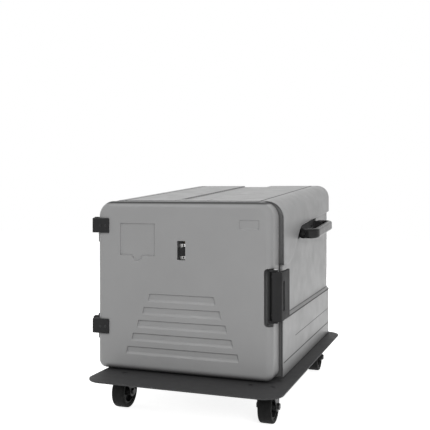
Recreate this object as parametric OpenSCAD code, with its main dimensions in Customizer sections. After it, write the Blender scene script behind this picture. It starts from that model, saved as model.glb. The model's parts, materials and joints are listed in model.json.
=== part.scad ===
// Front-loading insulated food carrier standing on a caster dolly.
// X runs across the door, Y runs from the door to the back, Z is up.
// The origin lies on the floor, below the middle of the dolly's length
// and on the centre line of the carrier.

/* [Carrier body] */
// Width over the side walls
body_w = 470; // [440:5:500]
// Depth from the front rim to the back wall
body_d = 585; // [570:5:620]
// Height of the top edge above the deck, at the front rim
body_front_h = 416; // [405:1:440]
// Rise of the top towards the back, in degrees
top_slope = 3.9; // [0:0.1:6]
// Radius of the long top edges
top_edge_r = 42; // [30:1:48]
// Radius of the upright back corners
back_corner_r = 26; // [12:1:34]
// Wall thickness of the moulded outer skin
skin_t = 4; // [3:0.5:5]

/* [Food compartment] */
// Clear width of the compartment
cavity_w = 342; // [334:1:350]
// Clear depth of the compartment
cavity_d = 540; // [532:1:545]
// Clear height of the compartment
cavity_h = 320; // [280:5:325]
// Height of the compartment floor above the deck
cavity_floor = 44; // [30:1:48]
// Wall thickness of the inner liner
liner_t = 3; // [2:0.5:4]
// Corner radius of the compartment
cavity_r = 20; // [8:1:30]
// Number of pan runners on each side
runner_count = 5; // [3:1:6]
// Width of each pan runner
runner_w = 15; // [11:1:18]
// Height of each pan runner where it meets its panel
runner_h = 14; // [8:1:18]
// Thickness of the runner panel behind the runners
rail_t = 3; // [2:0.5:4]

/* [Side panels] */
// Depth of the recessed side panel
recess_depth = 10; // [6:1:12]
// Height of the ledge below the recessed panel
ledge_z = 135; // [120:1:150]
// Height of the recess roof at the latch
recess_front_z = 265; // [261:1:275]
// Height of the lip above the recessed panel
lip_h = 78; // [70:1:90]
// Inset of the plinth below the ledge
plinth_inset = 3; // [1:0.5:5]
// Height of the long seam groove above the deck
seam_z = 34; // [20:1:50]
// Width of the channel along the middle of the top
channel_w = 86; // [60:2:120]
// Depth of the channel along the middle of the top
channel_depth = 3.5; // [2:0.5:6]
// Distance of the seam grooves on the top from the centre line
top_seam_x = 178; // [160:2:190]
// Width of the seam grooves
seam_w = 2; // [1:0.5:3]

/* [Door] */
// Distance from the side wall of the body to the side of the door
door_inset = 11.5; // [10:0.5:18]
// Distance from the top edge of the body down to the top of the door
door_top_drop = 1.5; // [0.5:0.5:10]
// Thickness of the door
door_t = 60; // [52:1:64]
// Clearance under the door, above the deck
door_lift = 2.5; // [2:0.5:6]
// Gap between the back of the door and the front rim
door_gap = 6; // [5:0.5:8]
// Radius of the top corners of the door
door_top_r = 38; // [30:1:44]
// Radius of the bottom corners of the door
door_bottom_r = 20; // [17:1:30]
// Radius of the rounded front edge of the door
door_edge_r = 16; // [10:1:17]
// Wall thickness of the door skin
door_skin_t = 4; // [3:0.5:5]
// How far the inner plug of the door reaches into the compartment
plug_depth = 14; // [8:1:18]
// Clearance round the plug
plug_gap = 7; // [5:0.5:10]
// Thickness of the door gasket bulb
gasket_t = 5.7; // [4.5:0.1:5.7]

/* [Door front relief] */
// Number of horizontal ribs
rib_count = 5; // [3:1:6]
// Distance from rib to rib
rib_pitch = 32.3; // [30:0.1:34]
// Height of one rib
rib_h = 19; // [12:1:22]
// Length of the shortest, topmost rib
rib_top_len = 164; // [120:2:190]
// Growth of the rib length from one rib to the next
rib_growth = 29; // [10:1:32]
// Height of the lower edge of the lowest rib
rib_low_z = 43; // [35:1:50]
// Depth of the ribs
rib_depth = 3; // [1.5:0.5:3.5]
// Height of the bevel along the lower edge of a rib
rib_bevel = 5.5; // [2:0.5:8]
// Width of the card pocket
card_w = 92; // [70:1:100]
// Height of the card pocket
card_h = 78; // [60:1:85]
// Depth of the card pocket
card_depth = 3; // [1.5:0.5:3.5]
// Width of the small bare recess at the top right
plate_recess_w = 48; // [30:1:60]
// Height of the small bare recess
plate_recess_h = 22.5; // [14:0.5:28]

/* [Vent] */
// Width of the vent pocket
vent_w = 21; // [18:1:26]
// Height of the vent pocket
vent_h = 45; // [44:1:52]
// Depth of the vent pocket
vent_depth = 19; // [16:1:22]
// Upward travel of the vent slider
vent_travel = 7; // [3:1:7]

/* [Latch] */
// Height of the latch lever
latch_h = 112; // [90:1:114]
// Height of the lower end of the latch lever above the deck
latch_z = 144; // [140:1:150]
// Depth of the latch pocket in the door
latch_pocket_depth = 15; // [13:1:16]
// Thickness of the lever's side arm
latch_arm_t = 5; // [4:0.5:6]
// Length of the finger slot in the side arm
latch_slot_h = 71; // [40:1:76]
// Radius of the latch pin
latch_pin_r = 3; // [2:0.25:3.5]

/* [Hinges] */
// Height of each hinge
hinge_h = 35.5; // [30:0.5:42]
// Height of the lower hinge above the deck
hinge_low_z = 89; // [80:1:110]
// Height of the upper hinge above the deck
hinge_high_z = 337; // [300:1:340]
// Width of the hinge plate on the door front
hinge_plate_w = 45; // [36:1:52]
// Thickness of the hinge plate
hinge_plate_t = 4; // [3:0.5:4]
// Radius of the hinge pin
hinge_pin_r = 4; // [3:0.25:4.5]
// Radius of the hinge knuckles
knuckle_r = 8.5; // [7.5:0.5:9]

/* [Carry handles] */
// Overall length of the handle
handle_len = 220; // [180:2:230]
// Reach of the handle from its pivot
handle_reach = 38.5; // [34:0.5:48]
// Height of the handle section
handle_h = 25; // [18:1:26]
// Width of the handle arms and of the grip
handle_t = 15; // [12:1:18]
// Radius of the long edges of the handle section
handle_round = 5.5; // [2:0.5:5.5]
// Distance of the handle's middle behind the front rim
handle_mid_y = 282; // [278:1:310]
// Height of the handle pivot above the deck, at the handle's middle
handle_pivot_z = 337; // [325:1:342]
// Radius of the handle pins
handle_pin_r = 4; // [2.5:0.25:4.5]

/* [Dolly] */
// How much wider the deck plate is than the body, on each side
deck_margin = 0; // [0:1:20]
// How far the deck plate reaches behind the body
rear_shelf = 3; // [0:1:40]
// Thickness of the deck plate
deck_t = 3; // [3:0.5:6]
// Corner radius of the deck plate
deck_r = 46; // [20:1:60]
// Distance of the deck's centre line beyond the carrier's
deck_shift = 32; // [0:1:34]
// Distance of the casters' centre line beyond the carrier's
caster_shift = 18; // [0:1:30]
// Free deck in front of the door
front_shelf = 110; // [60:1:114]
// Distance of the kingpins from the ends of the deck
kingpin_inset_y = 122; // [90:1:140]
// Distance of the kingpins from the casters' centre line
kingpin_x = 186; // [150:1:190]
// Radius of the locating studs
stud_r = 10; // [6:1:12]
// Height of the locating studs
stud_h = 8; // [5:1:9]

/* [Casters] */
// Diameter of the wheels
wheel_d = 80; // [70:1:82]
// Width of the wheel tread
wheel_w = 33; // [24:1:34]
// Overall height of a caster
caster_h = 96; // [94:1:104]
// Distance of the axle behind the kingpin
caster_trail = 27; // [20:1:32]
// Thickness of the fork sheet
fork_t = 3; // [2:0.5:4]
// Side of the square mounting plate
caster_plate_w = 76; // [70:1:84]
// Distance between the mounting holes
caster_hole_pitch = 54; // [50:1:58]
// Radius of the axle bolt
axle_r = 5; // [4:0.25:6]
// Radius of the kingpin
kingpin_r = 6; // [5:0.25:8]

/* [Hidden] */

$fn = 48;
eps = 0.01;
reach = 1000;              // longer than the whole object, for cutting tools
run_gap = 0.05;            // radial clearance of a pin in its bore
face_gap = 0.4;            // axial clearance between moving faces
shell_color = [0.62, 0.63, 0.64];
black_color = [0.14, 0.14, 0.15];
steel_color = [0.72, 0.73, 0.75];

// Heights and depths that follow from the driving sizes
deck_top = caster_h + deck_t;
rim_y = door_t + door_gap;                      // carrier frame: 0 at the door front
deck_w = body_w + 2 * deck_margin;
deck_l = front_shelf + rim_y + body_d + rear_shelf;
door_w = body_w - 2 * door_inset;
door_h = body_front_h - door_top_drop - door_lift;
carrier_y = -deck_l / 2 + front_shelf;          // door front in the row frame
cavity_back = rim_y + cavity_d;
side_x = body_w / 2;
panel_x = side_x - recess_depth;
door_x = door_w / 2;
door_top_z = door_lift + door_h;
body_back_h = body_front_h + body_d * tan(top_slope);
handle_y = rim_y + handle_mid_y;

// ---------------------------------------------------------------- helpers

// Moves the carrier's own frame to its place on the deck
module on_deck() translate([0, carrier_y, deck_top]) children();

// Extrudes an XZ outline along Y
module along_y(y0, y1) translate([0, y1, 0]) rotate([90, 0, 0]) linear_extrude(y1 - y0) children();

// Extrudes a YZ outline along X
module along_x(x0, x1) translate([x0, 0, 0]) rotate([90, 0, 90]) linear_extrude(x1 - x0) children();

// Rectangle from corner to corner
module rect(x0, y0, x1, y1) translate([x0, y0]) square([x1 - x0, y1 - y0]);

// Box from corner to corner
module box(a, b) translate(a) cube(b - a);

// Rectangle with one radius below and another above
module round_rect(x0, y0, x1, y1, r_low, r_high) {
    rect(x0, y0 + r_low, x1, y1 - r_high);
    rect(x0 + r_low, y0, x1 - r_low, y0 + r_low + eps);
    rect(x0 + r_high, y1 - r_high - eps, x1 - r_high, y1);
    for (x = [x0 + r_low, x1 - r_low]) translate([x, y0 + r_low]) circle(r_low);
    for (x = [x0 + r_high, x1 - r_high]) translate([x, y1 - r_high]) circle(r_high);
}

// Cylinder along Y between two depths
module rod_y(x, z, r, y0, y1) translate([x, y1, z]) rotate([90, 0, 0]) cylinder(r = r, h = y1 - y0);

// Cylinder along Z between two heights
module rod_z(x, y, r, z0, z1) translate([x, y, z0]) cylinder(r = r, h = z1 - z0);

// Pan-head screw whose shank points along -Z and whose head stands on z = 0
module pan_screw(r, length, head_r, head_h) {
    translate([0, 0, -length]) cylinder(r = r, h = length);
    difference() {
        cylinder(r = head_r, h = head_h);
        for (a = [0, 90]) rotate(a)
            translate([-head_r * 0.55, -head_r * 0.12, head_h * 0.5])
                cube([head_r * 1.1, head_r * 0.24, head_h]);
    }
}

// Height of the sloping top at a depth behind the door front
function top_z(y) = body_front_h + (y - rim_y) * tan(top_slope);

// Height of the recess roof: an S-shaped curve from the latch up to the lip
recess_start_y = 95;
recess_end_y = 262;
recess_skew = 1.3;
recess_steps = 16;
function recess_blend(t) = (1 - cos(180 * pow(t, recess_skew))) / 2;
function recess_roof(y) =
    let (t = min(max((y - recess_start_y) / (recess_end_y - recess_start_y), 0), 1))
    recess_front_z + (top_z(y) - lip_h - recess_front_z) * recess_blend(t);

// ---------------------------------------------------------------- carrier body

// Moves children to the sloping top: Y runs back along it from the front rim
module on_top() translate([0, rim_y, body_front_h]) rotate([top_slope, 0, 0]) children();

// Solid of the body, drawn in by t on every outer face
module body_block(t, front_y) {
    intersection() {
        linear_extrude(reach) union() {
            rect(-side_x + t, front_y, side_x - t, rim_y + body_d - back_corner_r);
            rect(-side_x + back_corner_r, front_y, side_x - back_corner_r, rim_y + body_d - t);
            for (s = [-1, 1]) translate([s * (side_x - back_corner_r), rim_y + body_d - back_corner_r])
                circle(back_corner_r - t);
        }
        on_top() along_y(-reach, reach) union() {
            rect(-side_x + top_edge_r, -reach, side_x - top_edge_r, -t);
            rect(-side_x + t, -reach, side_x - t, -top_edge_r);
            for (s = [-1, 1]) translate([s * (side_x - top_edge_r), -top_edge_r]) circle(top_edge_r - t);
        }
        box([-reach, front_y, t], [reach, reach, reach]);
    }
}

// Outline of the recessed side panel in the YZ plane, grown by g
module recess_outline(g) {
    back_y = rim_y + body_d + reach / 4;
    polygon(concat(
        [[rim_y - reach / 4, ledge_z - g], [back_y, ledge_z - g], [back_y, top_z(back_y) - lip_h + g]],
        [for (i = [recess_steps:-1:0])
            let (y = recess_start_y + (recess_end_y - recess_start_y) * i / recess_steps)
            [y, recess_roof(y) + g]],
        [[rim_y - reach / 4, recess_front_z + g]]));
}

// Both recessed side panels; g grows them for the inner face of the skin
module side_recesses(g) {
    ledge_slope = 8;
    for (s = [0, 1]) mirror([s, 0, 0]) {
        difference() {
            along_x(panel_x - g, reach) recess_outline(g);
            // sloping ledge that sheds water
            along_y(rim_y - reach / 4, reach) polygon([
                [panel_x - g, ledge_z - g - eps], [side_x + ledge_slope, ledge_z - g - eps],
                [panel_x - g, ledge_z - g + ledge_slope]]);
        }
        // plinth, with its long seam groove and crease
        box([side_x - plinth_inset - g, rim_y - reach / 4, -reach], [reach, reach, ledge_z + eps]);
    }
}

// Grooves that only mark the outer face: seam and crease of the plinth, seams of the top
module seam_grooves() {
    crease_z = 77;
    crease_start = 130;
    for (s = [0, 1]) mirror([s, 0, 0]) {
        box([side_x - plinth_inset - seam_w * 0.8, rim_y + 12, seam_z - seam_w / 2],
            [reach, reach, seam_z + seam_w / 2]);
        box([side_x - plinth_inset - seam_w * 0.4, rim_y + crease_start, crease_z - seam_w / 2],
            [reach, reach, crease_z + seam_w / 2]);
        on_top() box([top_seam_x - seam_w / 2, channel_front, -seam_w * 0.8],
            [top_seam_x + seam_w / 2, reach, reach]);
    }
}

// Sunk channel along the middle of the top, grown by g; it runs out at the back
channel_front = 36;
module top_channel(g) {
    end_r = 6;
    on_top() translate([0, 0, -channel_depth - g]) linear_extrude(reach)
        round_rect(-channel_w / 2 - g, channel_front - g, channel_w / 2 + g, reach, end_r + g, end_r);
}

hinge_x = -(side_x + 6);          // hinge axis, in the carrier frame
hinge_y = 29;
boss_x = -(side_x + 22);
boss_drop = 28;
boss_back = rim_y + 66;
boss_chamfer = 30;
leaf_inset = 4;
hinge_levels = [hinge_low_z, hinge_high_z];
arm_left = hinge_x - 4;           // the leaf's arm, left and right of the pin
arm_right = hinge_x + 6;

// Moulded bosses that carry the body leaves of the hinges
module hinge_bosses() {
    for (z = hinge_levels) difference() {
        along_x(boss_x, -panel_x + skin_t) polygon([
            [rim_y, z - boss_drop], [boss_back - 20, z - boss_drop], [boss_back, z - boss_drop + 14],
            [boss_back, z + hinge_h - 8], [boss_back - 8, z + hinge_h], [rim_y, z + hinge_h]]);
        // pocket that takes the leaf flush
        box([boss_x - 1, rim_y - 1, z], [boss_x + leaf_inset, leaf_back, z + hinge_h + 1]);
        box([boss_x - 1, rim_y - 1, z], [arm_right + face_gap, rim_y + leaf_inset, z + hinge_h + 1]);
        // the outer back edge falls away to the side wall
        translate([boss_x, boss_back + boss_chamfer / 5, 0]) rotate(-35)
            box([-2 * boss_chamfer, -boss_chamfer, -reach], [0, 2 * boss_chamfer, reach]);
    }
}

// Blind pockets under the base for the locating studs
stud_x = 150;
stud_y = [120, 440];
module stud_pockets() {
    pocket_gap = 1;
    for (x = [-stud_x, stud_x], y = stud_y) translate([x, y, -1])
        cylinder(r = stud_r + pocket_gap, h = stud_h + 2);
}

module shell_solid() {
    difference() {
        union() {
            difference() {
                body_block(0, rim_y);
                side_recesses(0);
                seam_grooves();
                top_channel(0);
            }
            hinge_bosses();
        }
        stud_pockets();
    }
}

// Space inside the outer skin, open at the front rim
module shell_void(front_y) {
    difference() {
        body_block(skin_t, front_y);
        side_recesses(skin_t);
        top_channel(skin_t);
        for (x = [-stud_x, stud_x], y = stud_y)
            translate([x, y, -1]) cylinder(r = stud_r + skin_t, h = stud_h + skin_t + 2);
    }
}

module outer_shell() color(shell_color) on_deck()
    difference() {
        shell_solid();
        shell_void(rim_y - 1);
        screw_holes();
    }

// Outline of the compartment, grown by g
module cavity_outline(g) {
    round_rect(-cavity_w / 2 - g, cavity_floor - g, cavity_w / 2 + g, cavity_floor + cavity_h + g,
        cavity_r + g, cavity_r + g);
}

// Liner: the compartment tub with the front flange that closes the rim
module inner_liner() color(shell_color) on_deck()
    difference() {
        union() {
            along_y(rim_y, cavity_back + liner_t) cavity_outline(liner_t);
            intersection() {
                shell_void(rim_y);
                box([-reach, rim_y, -reach], [reach, rim_y + liner_t, reach]);
            }
        }
        along_y(rim_y - 1, cavity_back) cavity_outline(0);
    }

// Foam between the liner and the skin
module insulation() color([0.93, 0.88, 0.70]) on_deck()
    difference() {
        shell_void(rim_y + liner_t);
        along_y(rim_y - 1, cavity_back + liner_t) cavity_outline(liner_t);
        screw_holes();
    }

// Runner panel with its pan runners, on the side of the compartment given by s
module pan_rail(s) {
    rail_front = rim_y + plug_depth + 12;
    rail_back = cavity_back - 6;
    rail_low = cavity_floor + cavity_r + 4;
    rail_high = cavity_floor + cavity_h - cavity_r - 4;
    pitch = (rail_high - rail_low - runner_h) / (runner_count - 1);
    lead_in = 12;
    mirror([s, 0, 0]) difference() {
        union() {
            box([cavity_w / 2 - rail_t, rail_front, rail_low], [cavity_w / 2, rail_back, rail_high]);
            for (i = [0:runner_count - 1]) translate([0, 0, rail_low + i * pitch])
                along_y(rail_front, rail_back) polygon([
                    [cavity_w / 2 - rail_t + eps, 0], [cavity_w / 2 - rail_t + eps, runner_h],
                    [cavity_w / 2 - runner_w, runner_h], [cavity_w / 2 - runner_w, runner_h - 4]]);
        }
        // tapered lead-in for the pans
        translate([cavity_w / 2 - runner_w - 1, rail_front - 1, 0]) linear_extrude(reach)
            polygon([[0, 0], [runner_w - rail_t, 0], [0, lead_in]]);
    }
}
module pan_rail_left() color(shell_color * 0.9) on_deck() pan_rail(1);
module pan_rail_right() color(shell_color * 0.9) on_deck() pan_rail(0);

// ---------------------------------------------------------------- hinges

leaf_back = rim_y + 18;
door_knuckle_h = hinge_h * 0.44;

// Leaf on the body: two knuckles, an arm and the flush plate on the boss
module hinge_body_leaf() {
    slot_half = knuckle_r + 2;
    difference() {
        union() {
            linear_extrude(hinge_h) polygon([
                [arm_left, hinge_y], [arm_left, rim_y], [boss_x, rim_y],
                [boss_x, leaf_back], [boss_x + leaf_inset, leaf_back],
                [boss_x + leaf_inset, rim_y + leaf_inset],
                [arm_right, rim_y + leaf_inset], [arm_right, hinge_y]]);
            cylinder_at_hinge(knuckle_r, 0, hinge_h);
        }
        // slot for the knuckle of the door leaf, open towards the door
        translate([0, 0, (hinge_h - door_knuckle_h) / 2 - face_gap])
            linear_extrude(door_knuckle_h + 2 * face_gap)
                rect(hinge_x - slot_half, hinge_y - slot_half, hinge_x + slot_half, rim_y - leaf_inset);
        cylinder_at_hinge(hinge_pin_r, -1, hinge_h + 1);
        leaf_screw_bores(hinge_h);
    }
}
module cylinder_at_hinge(r, z0, z1) translate([hinge_x, hinge_y, z0]) cylinder(r = r, h = z1 - z0);

// Screw places of the body leaf, on the outside of the boss
leaf_screw_y = leaf_back - 7;
module leaf_screw_bores(h) {
    for (z = [h * 0.25, h * 0.75]) translate([boss_x - 1, leaf_screw_y, z]) rotate([0, 90, 0])
        cylinder(r = 2.1, h = leaf_inset + 2);
}

module hinge_body_leaf_lower() color(black_color) on_deck() translate([0, 0, hinge_low_z]) hinge_body_leaf();
module hinge_body_leaf_upper() color(black_color) on_deck() translate([0, 0, hinge_high_z]) hinge_body_leaf();

// Leaf on the door: front plate, return along the door's edge and one knuckle
module hinge_door_leaf() {
    plate_x = hinge_x + 5;
    clear_r = knuckle_r + 1;
    body_knuckle_h = (hinge_h - door_knuckle_h) / 2;
    difference() {
        linear_extrude(hinge_h) difference() {
            polygon([
                [plate_x + hinge_plate_w, 0], [plate_x + hinge_plate_w, -hinge_plate_t + 1],
                [plate_x + hinge_plate_w - 1, -hinge_plate_t], [plate_x + 2, -hinge_plate_t],
                [plate_x, -hinge_plate_t + 2], [hinge_x - knuckle_r * 0.4, hinge_y],
                [hinge_x, hinge_y + 5], [-door_x, hinge_y + 5], [-door_x, door_edge_r],
                [-door_x + door_edge_r, 0]]);
            // the door's own rounded edge
            translate([-door_x + door_edge_r, door_edge_r]) circle(door_edge_r);
        }
        // room for the body's knuckles and arms, also with the door swung right round
        for (z = [-1, hinge_h - body_knuckle_h]) translate([0, 0, z])
            linear_extrude(body_knuckle_h + 1) {
                translate([hinge_x, hinge_y]) circle(clear_r);
                rect(hinge_x - 20, -20, plate_x, hinge_y + 20);
                rect(hinge_x - 20, hinge_y, arm_right + 1, hinge_y + 20);
            }
        cylinder_at_hinge(hinge_pin_r + run_gap, -1, hinge_h + 1);
        for (x = door_leaf_screw_x) rod_y(x, hinge_h / 2, 2.1, -hinge_plate_t - 1, 1);
    }
    difference() {
        cylinder_at_hinge(knuckle_r, (hinge_h - door_knuckle_h) / 2, (hinge_h + door_knuckle_h) / 2);
        cylinder_at_hinge(hinge_pin_r + run_gap, -1, hinge_h + 1);
    }
}
door_leaf_screw_x = [-door_x + door_edge_r + 4, -door_x + door_edge_r + 18];

module hinge_door_leaf_lower() color(black_color) on_deck() translate([0, 0, hinge_low_z]) hinge_door_leaf();
module hinge_door_leaf_upper() color(black_color) on_deck() translate([0, 0, hinge_high_z]) hinge_door_leaf();

// Headed pins through the knuckles of both hinges
module hinge_pins() color(black_color) on_deck()
    for (z = hinge_levels) translate([0, 0, z]) {
        head_h = 2;
        cylinder_at_hinge(hinge_pin_r, -1, hinge_h + eps);
        cylinder_at_hinge(hinge_pin_r + 1.5, hinge_h, hinge_h + head_h);
    }

// ---------------------------------------------------------------- door

// Solid of the door up to back_y, drawn in by t and with its front edge rounded
module door_block(t, back_y) {
    r = door_edge_r;
    lo = door_lift;
    corners = [
        [-door_x + door_bottom_r, lo + door_bottom_r, door_bottom_r],
        [door_x - door_bottom_r, lo + door_bottom_r, door_bottom_r],
        [-door_x + door_top_r, door_top_z - door_top_r, door_top_r],
        [door_x - door_top_r, door_top_z - door_top_r, door_top_r]];
    along_y(r, back_y) round_rect(-door_x + t, lo + t, door_x - t, door_top_z - t,
        door_bottom_r - t, door_top_r - t);
    along_y(t, r + eps) round_rect(-door_x + r, lo + r, door_x - r, door_top_z - r,
        door_bottom_r - r, door_top_r - r);
    // rounded edges between the corners, then the corners themselves
    for (s = [-1, 1]) rod_z(s * (door_x - r), r, r - t, lo + door_bottom_r, door_top_z - door_top_r);
    translate([0, r, lo + r]) rotate([0, 90, 0])
        cylinder(r = r - t, h = 2 * (door_x - door_bottom_r), center = true);
    translate([0, r, door_top_z - r]) rotate([0, 90, 0])
        cylinder(r = r - t, h = 2 * (door_x - door_top_r), center = true);
    for (c = corners) translate([c[0], r, c[1]]) rotate([90, 0, 0])
        rotate_extrude() intersection() {
            translate([c[2] - r, 0]) circle(r - t);
            rect(0, -reach, reach, reach);
        }
}

// Pocket of one rib: a flat floor with a bevel along its lower edge
module rib_cut(i) {
    z = rib_low_z + (rib_count - 1 - i) * rib_pitch;
    half = (rib_top_len + i * rib_growth) / 2;
    end_slant = 5;
    intersection() {
        along_x(-reach, reach) polygon([[-1, z], [0, z], [rib_depth, z + rib_bevel], [rib_depth, z + rib_h],
            [-1, z + rib_h]]);
        along_y(-2, rib_depth + 1) polygon([[-half - end_slant, z - 1], [half + end_slant, z - 1],
            [half, z + rib_h + 1], [-half, z + rib_h + 1]]);
    }
}

card_x = -114.5;
card_top = door_top_z - 53.5;
plate_recess_x = 169;
plate_recess_z = card_top;
plate_recess_depth = 2;
vent_x = 0.5;
vent_z = door_top_z - 116.2;
pocket_x0 = 204;
ear_h = 5;                       // thickness of the ears that hold the latch pin
pocket_z0 = latch_z - 14;
pocket_z1 = latch_z + latch_h + ear_h + 1;

// Hollows in the door front: card pocket, bare recess, vent and latch pockets, grown by g
module door_hollows(g) {
    // card pocket with its thumb notch
    thumb_r = 12.5;
    along_y(-1, card_depth + g) {
        rect(card_x - card_w / 2 - g, card_top - card_h - g, card_x + card_w / 2 + g, card_top + g);
        translate([card_x, card_top - card_h]) circle(thumb_r + g);
    }
    along_y(-1, plate_recess_depth + g)
        rect(plate_recess_x - plate_recess_w / 2 - g, plate_recess_z - plate_recess_h / 2 - g,
            plate_recess_x + plate_recess_w / 2 + g, plate_recess_z + plate_recess_h / 2 + g);
    along_y(-1, vent_depth + g) rect(vent_x - vent_w / 2 - g, vent_z - vent_h / 2 - g,
        vent_x + vent_w / 2 + g, vent_z + vent_h / 2 + g);
    along_y(-1, latch_pocket_depth + g)
        round_rect(pocket_x0 - g, pocket_z0 - g, door_x + reach / 4, pocket_z1 + g, 8 + g, 8 + g);
}

module door_skin() color(shell_color) on_deck()
    difference() {
        door_block(0, door_t);
        difference() {
            door_block(door_skin_t, door_t + 1);
            door_hollows(door_skin_t);
            for (i = [0:rib_count - 1]) translate([0, door_skin_t, 0]) rib_cut(i);
        }
        door_hollows(0);
        for (i = [0:rib_count - 1]) rib_cut(i);
        door_screw_holes();
        vent_hole();
    }

// Steam passage above the vent plate, right through the door
module vent_hole() rod_y(vent_x, vent_low + vent_h - 4, 3, 1, rim_y + plug_depth + 1);

// Outline of the space inside the door skin
module door_void_outline() round_rect(-door_x + door_skin_t, door_lift + door_skin_t,
    door_x - door_skin_t, door_top_z - door_skin_t, door_bottom_r - door_skin_t, door_top_r - door_skin_t);

// Outline of the plug on the inside of the door, drawn in by g
module plug_outline(g) {
    round_rect(-cavity_w / 2 + plug_gap + g, cavity_floor + plug_gap + g, cavity_w / 2 - plug_gap - g,
        cavity_floor + cavity_h - plug_gap - g, cavity_r - g, cavity_r - g);
}

// Inner face of the door with its plug
module door_liner() color(shell_color) on_deck() {
    plug_back = rim_y + plug_depth;
    difference() {
        union() {
            along_y(door_t - liner_t, door_t) door_void_outline();
            along_y(door_t - liner_t, plug_back) plug_outline(0);
        }
        along_y(door_t - liner_t - 1, plug_back - liner_t) plug_outline(liner_t);
        vent_hole();
    }
}

module door_insulation() color([0.93, 0.88, 0.70]) on_deck() difference() {
    union() {
        door_block(door_skin_t, door_t - liner_t);
        along_y(door_t - liner_t - 1, rim_y + plug_depth - liner_t) plug_outline(liner_t);
    }
    door_hollows(door_skin_t);
    for (i = [0:rib_count - 1]) translate([0, door_skin_t, 0]) rib_cut(i);
    door_screw_holes();
    vent_hole();
}

// Soft bulb that runs round the plug and meets the front rim
module door_gasket() color([0.20, 0.20, 0.21]) on_deck() {
    bulb_w = 11;
    set_out = 9;
    difference() {
        along_y(door_t, door_t + gasket_t) round_rect(
            -cavity_w / 2 - set_out, cavity_floor - set_out, cavity_w / 2 + set_out,
            cavity_floor + cavity_h + set_out, cavity_r + set_out, cavity_r + set_out);
        along_y(door_t - 1, door_t + gasket_t + 1) round_rect(
            -cavity_w / 2 - set_out + bulb_w, cavity_floor - set_out + bulb_w, cavity_w / 2 + set_out - bulb_w,
            cavity_floor + cavity_h + set_out - bulb_w, cavity_r, cavity_r);
    }
}

// ---------------------------------------------------------------- vent

vent_floor = vent_depth;
vent_plate_t = 3;
vent_low = vent_z - vent_h / 2;
vent_plate_h = 37;
vent_knob_h = 20;

// Pale plate on the floor of the vent pocket, with the slot of the slider
module vent_plate() color([0.92, 0.92, 0.90]) on_deck()
    difference() {
        along_y(vent_floor - vent_plate_t, vent_floor)
            rect(vent_x - vent_w / 2 + 0.5, vent_low + 0.3, vent_x + vent_w / 2 - 0.5, vent_low + vent_plate_h);
        along_y(vent_floor - vent_plate_t - 1, vent_floor + 1)
            rect(vent_x - 3.5, vent_low + 11, vent_x + 3.5, vent_low + 24 + vent_travel);
        at_flush_screws() flush_screw();
    }
vent_screw_z = [vent_low + 4.5, vent_low + vent_plate_h - 3];

// Black slider: a ribbed finger piece with its stem in the slot
module vent_slider() color(black_color) on_deck() {
    z0 = vent_low + 8.3;
    front = vent_floor - vent_plate_t - 10;
    difference() {
        along_y(front, vent_floor - vent_plate_t - 0.3)
            rect(vent_x - vent_w / 2 + 1.5, z0, vent_x + vent_w / 2 - 1.5, z0 + vent_knob_h);
        for (i = [0:3]) translate([0, 0, z0 + 3 + i * 4]) along_x(-reach / 4, reach / 4)
            polygon([[front - 1, 0], [front + 1.5, 0.8], [front - 1, 2.4]]);
    }
    along_y(front + 2, vent_floor - 0.3) rect(vent_x - 3, z0 + 3.2, vent_x + 3, z0 + 14);
}

// ---------------------------------------------------------------- latch

latch_x = door_x + 6.5;          // latch axis, in the carrier frame
latch_y = 5.5;
latch_left = door_x + 1;
latch_base_t = 4;
ear_r = 5.5;

// Housing in the door pocket with the two ears that hold the latch pin
module latch_base() color(black_color) on_deck() {
    floor_y = latch_pocket_depth;
    strip_x = latch_screw_x - 7;
    strip_w = 3;
    strip_out = 5;
    difference() {
        union() {
            box([strip_x - 1, floor_y - latch_base_t, latch_z - ear_h],
                [door_x, floor_y, latch_z + latch_h + ear_h]);
            // upright strip that the finger finds behind the lever
            box([strip_x, floor_y - latch_base_t - strip_out, latch_z - ear_h],
                [strip_x + strip_w, floor_y, latch_z + latch_h + ear_h]);
            for (z = [latch_z - ear_h, latch_z + latch_h]) {
                box([strip_x + strip_w, latch_y - ear_r, z], [latch_x, floor_y, z + ear_h]);
                rod_z(latch_x, latch_y, ear_r, z, z + ear_h);
            }
        }
        rod_z(latch_x, latch_y, latch_pin_r, latch_z - ear_h - 1, latch_z + latch_h + ear_h + 1);
        at_flush_screws() flush_screw();
    }
}
latch_screw_x = pocket_x0 + 16;
latch_screw_z = [latch_z + 12, latch_z + latch_h - 12];

module latch_pin() color(steel_color) on_deck() {
    rod_z(latch_x, latch_y, latch_pin_r, latch_z - ear_h, latch_z + latch_h + ear_h + eps);
    rod_z(latch_x, latch_y, latch_pin_r + 1.5, latch_z + latch_h + ear_h, latch_z + latch_h + ear_h + 1.5);
}

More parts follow.
